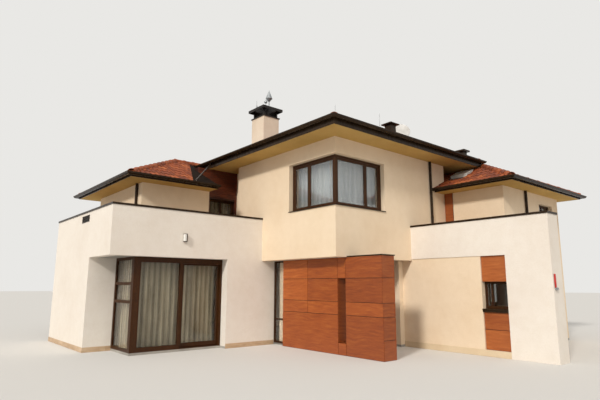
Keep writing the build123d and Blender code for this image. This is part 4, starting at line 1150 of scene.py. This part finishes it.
def pipe(bm, points, radius, sides=12):
    """A closed round pipe through points."""
    rings = []
    points = [Vector(p) for p in points]
    for k, point in enumerate(points):
        way = (points[min(k + 1, len(points) - 1)] - points[max(k - 1, 0)]).normalized()
        aside = way.orthogonal().normalized() if k == 0 else (aside - way * aside.dot(way)).normalized()
        other = way.cross(aside)
        rings.append([point + (aside * math.cos(a) + other * math.sin(a)) * radius
                      for a in [2 * math.pi * i / sides for i in range(sides)]])
    loft(bm, rings)
    bmesh.ops.recalc_face_normals(bm, faces=bm.faces)


class HOUSE_OT_roof_fittings(bpy.types.Operator):
    """Set the roof light, the dark sheet of painted shade beside the niche, the chimney's flashing and the
    lightning rods
    """
    bl_idname = "house.roof_fittings"
    bl_label = "Roof fittings"

    def execute(self, context):
        self.roof_light()
        self.shade_sheet()
        self.chimney()
        self.rods()
        return {"FINISHED"}

    def roof_light(self):
        x0, x1, y0, y1 = LIGHT
        rim, ledge, high = 0.045, 0.080, 0.110
        frame_bm, apron_bm, pane_bm = bmesh.new(), bmesh.new(), bmesh.new()
        add_box(frame_bm, (x0 + 0.006, x1 - 0.006), (y0 + 0.006, y1 - 0.006), (0.0005, ledge), 0.003)
        for xs, ys in border((x0, x1), (y0, y1), rim):
            add_box(frame_bm, xs, ys, (ledge, high), 0.004)
        add_box(apron_bm, (x0, x1), (y0 - APRON, y0), (0.0005, 0.012), 0.002)
        for k in range(1, 4):
            middle = x0 + (x1 - x0) * k / 4
            add_box(apron_bm, (middle - 0.012, middle + 0.012), (y0 - APRON + 0.02, y0 - 0.01),
                    (0.010, 0.022), 0.006)
        # Painted reflection: the pane is milky white opal, standing in for the bright sky it reflects
        add_box(pane_bm, (x0 + rim, x1 - rim), (y0 + rim, y1 - rim), (ledge, high - 0.006), 0.002)
        for name, bm, material, slot in (("roof_light_frame", frame_bm, "coat", "grey_metal"),
                                         ("roof_light_apron", apron_bm, "lead", "grey_metal"),
                                         ("roof_light_pane", pane_bm, "opal", "white_render")):
            sloped(bm, "y", REAR[2], LOWER_FOOT, LOWER_SLOPE)
            finish_piece(name, bm, material, "roof_light")

    def shade_sheet(self):
        # Painted shade: a dark felt sheet over the end of the slope beside the niche
        foot, head = SHADE_SHEET_PLAN
        wall, front, edge = NICHE_WALL - 0.009, MAIN[2] - GUTTER - 0.022, NICHE_FRONT - 0.001
        plan = (foot, (foot[0], edge), (wall, edge), (wall, front), (head[0], front), head)
        bm = bmesh.new()
        loft(bm, [[(x, y, z) for x, y in plan] for z in (0.002, 0.030)])
        sloped(bm, "x", LEFT[1], LOWER_FOOT, -LOWER_SLOPE)
        bmesh.ops.recalc_face_normals(bm, faces=bm.faces)
        finish_piece("abutment_lining", bm, "felt")

        bm = bmesh.new()
        upper, lower = (-0.55, -0.80), (0.65, -1.93)
        pipe(bm, ((*upper, 5.862), (*upper, 5.80), (*lower, 4.90), (*lower, 4.84)), 0.025)
        finish_piece("gutter_link_pipe", bm, "metal")

    def chimney(self):
        low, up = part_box("chimney_stack")
        skirt, thin, over = 0.13, 0.006, 0.085
        bm = bmesh.new()
        for width, zs in ((skirt, (over, over + thin)), (thin, (over - 0.05, over + 0.15))):
            for xs, ys in border((low[0] - width, up[0] + width), (low[1] - width, up[1] + width), width):
                add_box(bm, xs, ys, zs, 0.002)
        sloped(bm, "x", MAIN[0], MAIN_FOOT, SLOPE)
        finish_piece("chimney_flashing", bm, "lead")

        bm = bmesh.new()
        foot, count, side, blade = up[2] + 0.035, 6, 0.05, 0.035
        step = 0.235 / count
        for k in range(count):
            zs = (foot + step * k + 0.004, foot + step * k + 0.007)
            for n, axis in ((1, "y"), (0, "x")):
                across = (low[1 - n] + side + 0.02, up[1 - n] - side - 0.02)
                for face, way in ((low[n] + side, -1), (up[n] - side, 1)):
                    made = facing_box(bm, axis, across, sorted((face, face - way * blade)), zs)
                    for v in {v for f in made for v in f.verts}:
                        v.co.z += (face - v.co[n]) * way * LOUVRE_LEAN
        finish_piece("stack_louvres", bm, "cap")

    def rods(self):
        top = MAIN_FOOT + (MAIN[3] - MAIN[2]) / 2 * SLOPE
        middle = ((MAIN[0] + MAIN[1]) / 2, (MAIN[2] + MAIN[3]) / 2)
        sides = 8
        bm = bmesh.new()
        for x, y, foot, head in ((*middle, top, top + 0.66), (3.05, 3.83, top - 0.50, top + 0.30),
                                 (-0.56, 1.08, 8.25, 8.62)):
            outline = ((0.030, foot), (0.030, foot + 0.13), (0.009, foot + 0.16), (0.007, head - 0.05),
                       (0.001, head))
            loft(bm, [[(x + radius * math.cos(a), y + radius * math.sin(a), z)
                       for a in [2 * math.pi * i / sides for i in range(sides)]] for radius, z in outline])
        finish_piece("lightning_rods", bm, "steel")


def skirting(bm, axis, run, face, way, swing):
    """Stones along the foot of a wall; swing is how fast their tones change."""
    at, end = run
    while at < end - 0.01:
        stop = min(at + SKIRTING_LENGTH, end)
        facing_box(bm, axis, (at + 0.001, stop - 0.001), sorted((face, face + way * SKIRTING_THICK)),
                   (0.0, SKIRTING_HEIGHT), 0.002, 0.5 + 0.4 * math.sin(swing * at))
        at += SKIRTING_LENGTH


class HOUSE_OT_wall_fittings(bpy.types.Operator):
    """Make the lamps, the sill's nose, the copings' drips and the skirting"""
    bl_idname = "house.wall_fittings"
    bl_label = "Wall fittings"

    def execute(self, context):
        (x0, y0, z0), (x1, y1, z1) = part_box("wall_lamp")
        back, lid, rail = 0.016, 0.012, 0.022
        front, side = (x0 + back, x1 - 0.004), y0 + 0.008
        housing = [((x0, x0 + back), (side, y1), (z0, z1), 0.003), (front, (y1 - rail, y1), (z0, z1), 0.004)]
        housing += [(front, (side, y1 - rail), zs, 0.003) for zs in ((z0, z0 + lid), (z1 - lid, z1))]
        shade = [((x0 + back, x1), (y0, y1 - 0.024), (z0 + lid, z1 - lid), 0.012)]

        x, left, right, foot, head = 8.69, 3.195, 3.255, 1.70, 2.045
        lens = [((x + 0.004, x + 0.035), (left, right), (foot + 0.031, head), 0.008)]
        base = [((x, x + 0.006), (left + 0.004, right - 0.004), (foot + 0.031, head - 0.004), 0.001),
                ((x, x + 0.045), (left + 0.022, right + 0.080), (foot - 0.030, foot + 0.030), 0.006)]

        (room_left, room_face, _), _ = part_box("right_room_front_wall")
        recess = STRIP[1] - 0.001
        plate = [((6.24, 6.55), (room_face - 0.004, room_face), (1.97, 2.12), 0.0015)]
        plinth = [((room_left + 0.001, recess), (room_face - 0.012, room_face), (0.0, 0.16), 0.003)]
        nose = [((6.874, recess), (3.160, 3.172), (1.095, 1.183), 0.003)]

        # The drips are (span in X, span in Y, top of the coping that they hang from)
        thin, drop, out = 0.003, 0.026, 0.015
        wing_x, wing_y = (WING_LEFT - out, WING_RIGHT + out), WING_FRONT - out
        drips = [(xs, ys, (top - drop, top + 0.001)) for xs, ys, top in (
            ((4.7, 8.705), (3.135, 3.135 + thin), COPING_RIGHT),
            ((8.705 - thin, 8.705), (3.14, 3.70), COPING_RIGHT),
            (wing_x, (wing_y, wing_y + thin), COPING_LEFT),
            ((wing_x[1] - thin, wing_x[1]), (-4.62, 0.0), COPING_LEFT),
            ((wing_x[0], wing_x[0] + thin), (-4.62, BLOCK_FRONT), COPING_LEFT))]

        for name, boxes, material, slot, node in (
                ("wall_lamp_housing", housing, "metal", "lamp_metal", "wall_lamp"),
                ("wall_lamp_shade", shade, "opal", "lamp_metal", "wall_lamp"),
                ("frame_light_lens", lens, "red", "red_plastic", "meter_box"),
                ("frame_light_foot", base, "steel", "grey_metal", "meter_box"),
                ("painted_cover_plate", plate, "cream", "cream_render", None),
                ("plinth_band", plinth, "plinth", "cream_render", None),
                ("recess_sill_nose", nose, "metal", "grey_metal", None),
                ("coping_drips", drips, "metal", "grey_metal", None)):
            bm = bmesh.new()
            for box in boxes:
                add_box(bm, *box)
            finish_piece(name, bm, material, node)

        bm = bmesh.new()
        skirting(bm, "y", (WING_LEFT, -0.17), WING_FRONT, -1, 7)
        skirting(bm, "x", (-1.23, 0.47), WING_RIGHT, 1, 5)
        skirting(bm, "x", (WING_FRONT, -3.87), -0.17, 1, 5)
        finish_piece("stone_skirting", bm, "stone")
        return {"FINISHED"}


class HOUSE_OT_vent_slats(bpy.types.Operator):
    """Set the slats in the parapet's vent"""
    bl_idname = "house.vent_slats"
    bl_label = "Vent slats"

    def execute(self, context):
        (x0, _, z0), (x1, back, z1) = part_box("vent_grille")
        rim, count = 0.014, 9
        bm = bmesh.new()
        add_ring(bm, rectangle("y", back, (x0, x1), (z0, z1)), Vector((0, -1, 0)),
                 [(0, 0), (0, 0.012), (rim, 0.012), (rim, 0)])
        inside = (x0 + 0.01, x1 - 0.01)
        step = (z1 - z0 - 2 * rim) / count
        for k in range(count):
            z = z0 + rim + step * (k + 0.5)
            faces = add_box(bm, inside, (back - 0.010, back - 0.003), (z - step * 0.36, z - step * 0.2))
            for v in {v for f in faces for v in f.verts}:
                if v.co.y > back - 0.006:
                    v.co.z += step * 0.4
        add_box(bm, inside, (back - 0.0015, back - 0.0005), (z0 + 0.01, z1 - 0.01))
        finish_piece("vent_slats", bm, "metal", "vent_grille", merge=True)
        return {"FINISHED"}


class HOUSE_OT_terrace_tiles(bpy.types.Operator):
    """Lay the stone tiles of the terraces"""
    bl_idname = "house.terrace_tiles"
    bl_label = "Terrace tiles"

    def execute(self, context):
        size, half_joint, thick = TERRACE_TILE, 0.002, 0.014
        fields = []
        for x, y, seed in (((-3.44, 1.19), (-4.35, -3.42), 41), ((0.02, 1.19), (-3.42, -0.01), 42),
                           ((4.72, 7.78), (3.42, 4.80), 43), ((-0.78, 0.0), (-1.09, 0.44), 44)):
            bm = bmesh.new()
            side = (half_joint, size - half_joint)
            add_box(bm, side, side, (0.0, thick), 0.0015)
            columns, rows = (int(math.ceil((b - a) / size)) + 1 for a, b in (x, y))
            bm = laid_field(template(bm, "floor_tile"), columns, rows, size, size, 0.0, 0.0, seed, "stone")
            bmesh.ops.translate(bm, vec=(x[0], y[0], UPPER_FLOOR), verts=bm.verts)
            trim(bm, *keep_left(x[1]))
            trim(bm, *keep_front(y[1]))
            fields.append(bm)
        finish_piece("terrace_tiles", joined(fields), "stone")
        return {"FINISHED"}


class HOUSE_OT_finishes(bpy.types.Operator):
    """Put the right finish on the pieces that keep their own shape"""
    bl_idname = "house.finishes"
    bl_label = "Finishes"

    def execute(self, context):
        wears = {
            "cream": ("bay_front_wall", "bay_right_wall", "left_block_walls", "main_upper_walls",
                      "rear_block_walls", "rear_wall", "right_room_front_wall", "right_room_side_walls",
                      "porch_walls"),
            "side": ("left_wall",),
            "white": ("left_terrace_parapet", "left_wing_walls", "white_frame"),
            # The slabs' undersides are the soffits, with their painted shade
            "soffit": ("main_roof_slab", "lower_roof_slab"),
            "concrete": ("ground_floor_slab", "upper_floor_slab", "right_terrace_slab"),
            "tile": ("main_roof", "left_roof", "rear_roof"),
            "metal": ("gutters", "downspouts", "copings", "window_sills", "roof_vents"),
            "cap": ("chimney_cap",),
            "stack": ("chimney_stack",),
            "frame": ("terrace_door_frame",),
            "niche": ("entrance_door",),
            "glass": ("shown_window_glass", "hidden_window_glass", "sliding_leaf_glass"),
            "coat": ("satellite_dish",),
        }
        for key, names in wears.items():
            for name in names:
                slots = NODES[name].data.materials
                slots.clear()
                slots.append(MATS[key])
        return {"FINISHED"}


# Stage

def backdrop(tree, rays, kinds, real, shown, output):
    """Lets the chosen kinds of ray see one shader, and all others the real one."""
    path = put(tree, "ShaderNodeLightPath").outputs
    seen = path[rays[0]]
    for ray in rays[1:]:
        seen = sum_of(tree, "MAXIMUM", seen, path[ray])
    one, two = (put(tree, kind, values).outputs[0] for kind, values in zip(kinds, (real, shown)))
    both = put(tree, "ShaderNodeMixShader", {0: seen, 1: one, 2: two})
    put(tree, output, {"Surface": both.outputs[0]})


def sun(name, towards, strength, angle, colour):
    """A wide sun that shines towards a direction."""
    data = bpy.data.lights.new(name, "SUN")
    data.energy = strength
    data.angle = math.radians(angle)
    data.color = colour
    obj = bpy.data.objects.new(name, data)
    obj.rotation_euler = Vector(towards).to_track_quat("-Z", "Y").to_euler()
    bpy.context.collection.objects.link(obj)


class HOUSE_OT_stage(bpy.types.Operator):
    """Set the floor, the backdrop, the soft light and the camera"""
    bl_idname = "house.stage"
    bl_label = "Stage"

    def execute(self, context):
        mat, tree, _ = fresh("studio_floor")
        tree.nodes.clear()
        backdrop(tree, ("Is Glossy Ray", "Is Transmission Ray"),
                 ("ShaderNodeBsdfDiffuse", "ShaderNodeEmission"), {"Color": linear("#dcdad6")},
                 {"Color": linear("#e4e2de"), "Strength": 1.0}, "ShaderNodeOutputMaterial")
        bm = bmesh.new()
        bmesh.ops.create_circle(bm, cap_ends=True, segments=64, radius=140.0)
        mesh = mesh_of(bm, "studio_floor")
        mesh.materials.append(mat)
        floor = bpy.data.objects.new("studio_floor", mesh)
        floor.location = (2.0, 2.0, -0.002)
        context.collection.objects.link(floor)

        world = bpy.data.worlds.new("studio")
        world.use_nodes = True
        world.node_tree.nodes.clear()
        sky = context.scene.house_joinery.lamp
        backdrop(world.node_tree, ("Is Camera Ray", "Is Glossy Ray", "Is Transmission Ray"),
                 ("ShaderNodeBackground", "ShaderNodeBackground"), {"Color": (*sky, 1.0), "Strength": 0.52},
                 {"Color": linear("#e9e8e5"), "Strength": 1.0}, "ShaderNodeOutputWorld")
        context.scene.world = world

        sun("key", (-0.61, 1.6, -1.0), 2.22, 7.0, (1.0, 0.965, 0.91))
        sun("fill", (-1.0, 0.4, -0.9), 0.64, 40.0, (1.0, 0.955, 0.90))

        data = bpy.data.cameras.new("photo_view")
        data.sensor_width = 36.0
        data.lens = 28.61
        data.clip_end = 500.0
        camera = bpy.data.objects.new("photo_view", data)
        camera.location = (13.511, -8.632, 1.764)
        yaw, pitch, roll = (math.radians(a) for a in (49.90, 10.15, 0.16))
        camera.rotation_euler = (Matrix.Rotation(yaw, 3, "Z") @ Matrix.Rotation(math.pi / 2 + pitch, 3, "X")
                                 @ Matrix.Rotation(roll, 3, "Z")).to_euler()
        context.collection.objects.link(camera)
        context.scene.camera = camera
        context.scene.view_settings.view_transform = "Standard"
        return {"FINISHED"}


class HOUSE_PT_panel(bpy.types.Panel):
    """Lists the steps and sizes of the house"""
    bl_idname = "HOUSE_PT_panel"
    bl_label = "House"
    bl_space_type = "VIEW_3D"
    bl_region_type = "UI"
    bl_category = "House"

    def draw(self, context):
        for name in ("pitch", "gauge", "roll", "body", "lift"):
            self.layout.prop(context.scene.house_tiles, name)
        for name in ("joint", "panel", "fold", "lamp"):
            self.layout.prop(context.scene.house_joinery, name)
        for step in STEPS:
            self.layout.operator(step.bl_idname)


STEPS = (HOUSE_OT_finishes, HOUSE_OT_roof_tiles, HOUSE_OT_ridge_tiles, HOUSE_OT_timber_panels,
         HOUSE_OT_windows, HOUSE_OT_curtains, HOUSE_OT_gutter_brackets, HOUSE_OT_roof_fittings,
         HOUSE_OT_wall_fittings, HOUSE_OT_vent_slats, HOUSE_OT_terrace_tiles, HOUSE_OT_stage)
CLASSES = (TileSizes, JoinerySizes, *STEPS, HOUSE_PT_panel)


def register():
    for cls in CLASSES:
        bpy.utils.register_class(cls)
    bpy.types.Scene.house_tiles = bpy.props.PointerProperty(type=TileSizes)
    bpy.types.Scene.house_joinery = bpy.props.PointerProperty(type=JoinerySizes)


def unregister():
    del bpy.types.Scene.house_joinery
    del bpy.types.Scene.house_tiles
    for cls in reversed(CLASSES):
        bpy.utils.unregister_class(cls)


def main():
    """Registers the add-on with its two groups of sizes and builds every piece in order."""
    register()
    for step in STEPS:
        group, name = step.bl_idname.split(".")
        getattr(getattr(bpy.ops, group), name)()


if __name__ == "__main__":
    main()
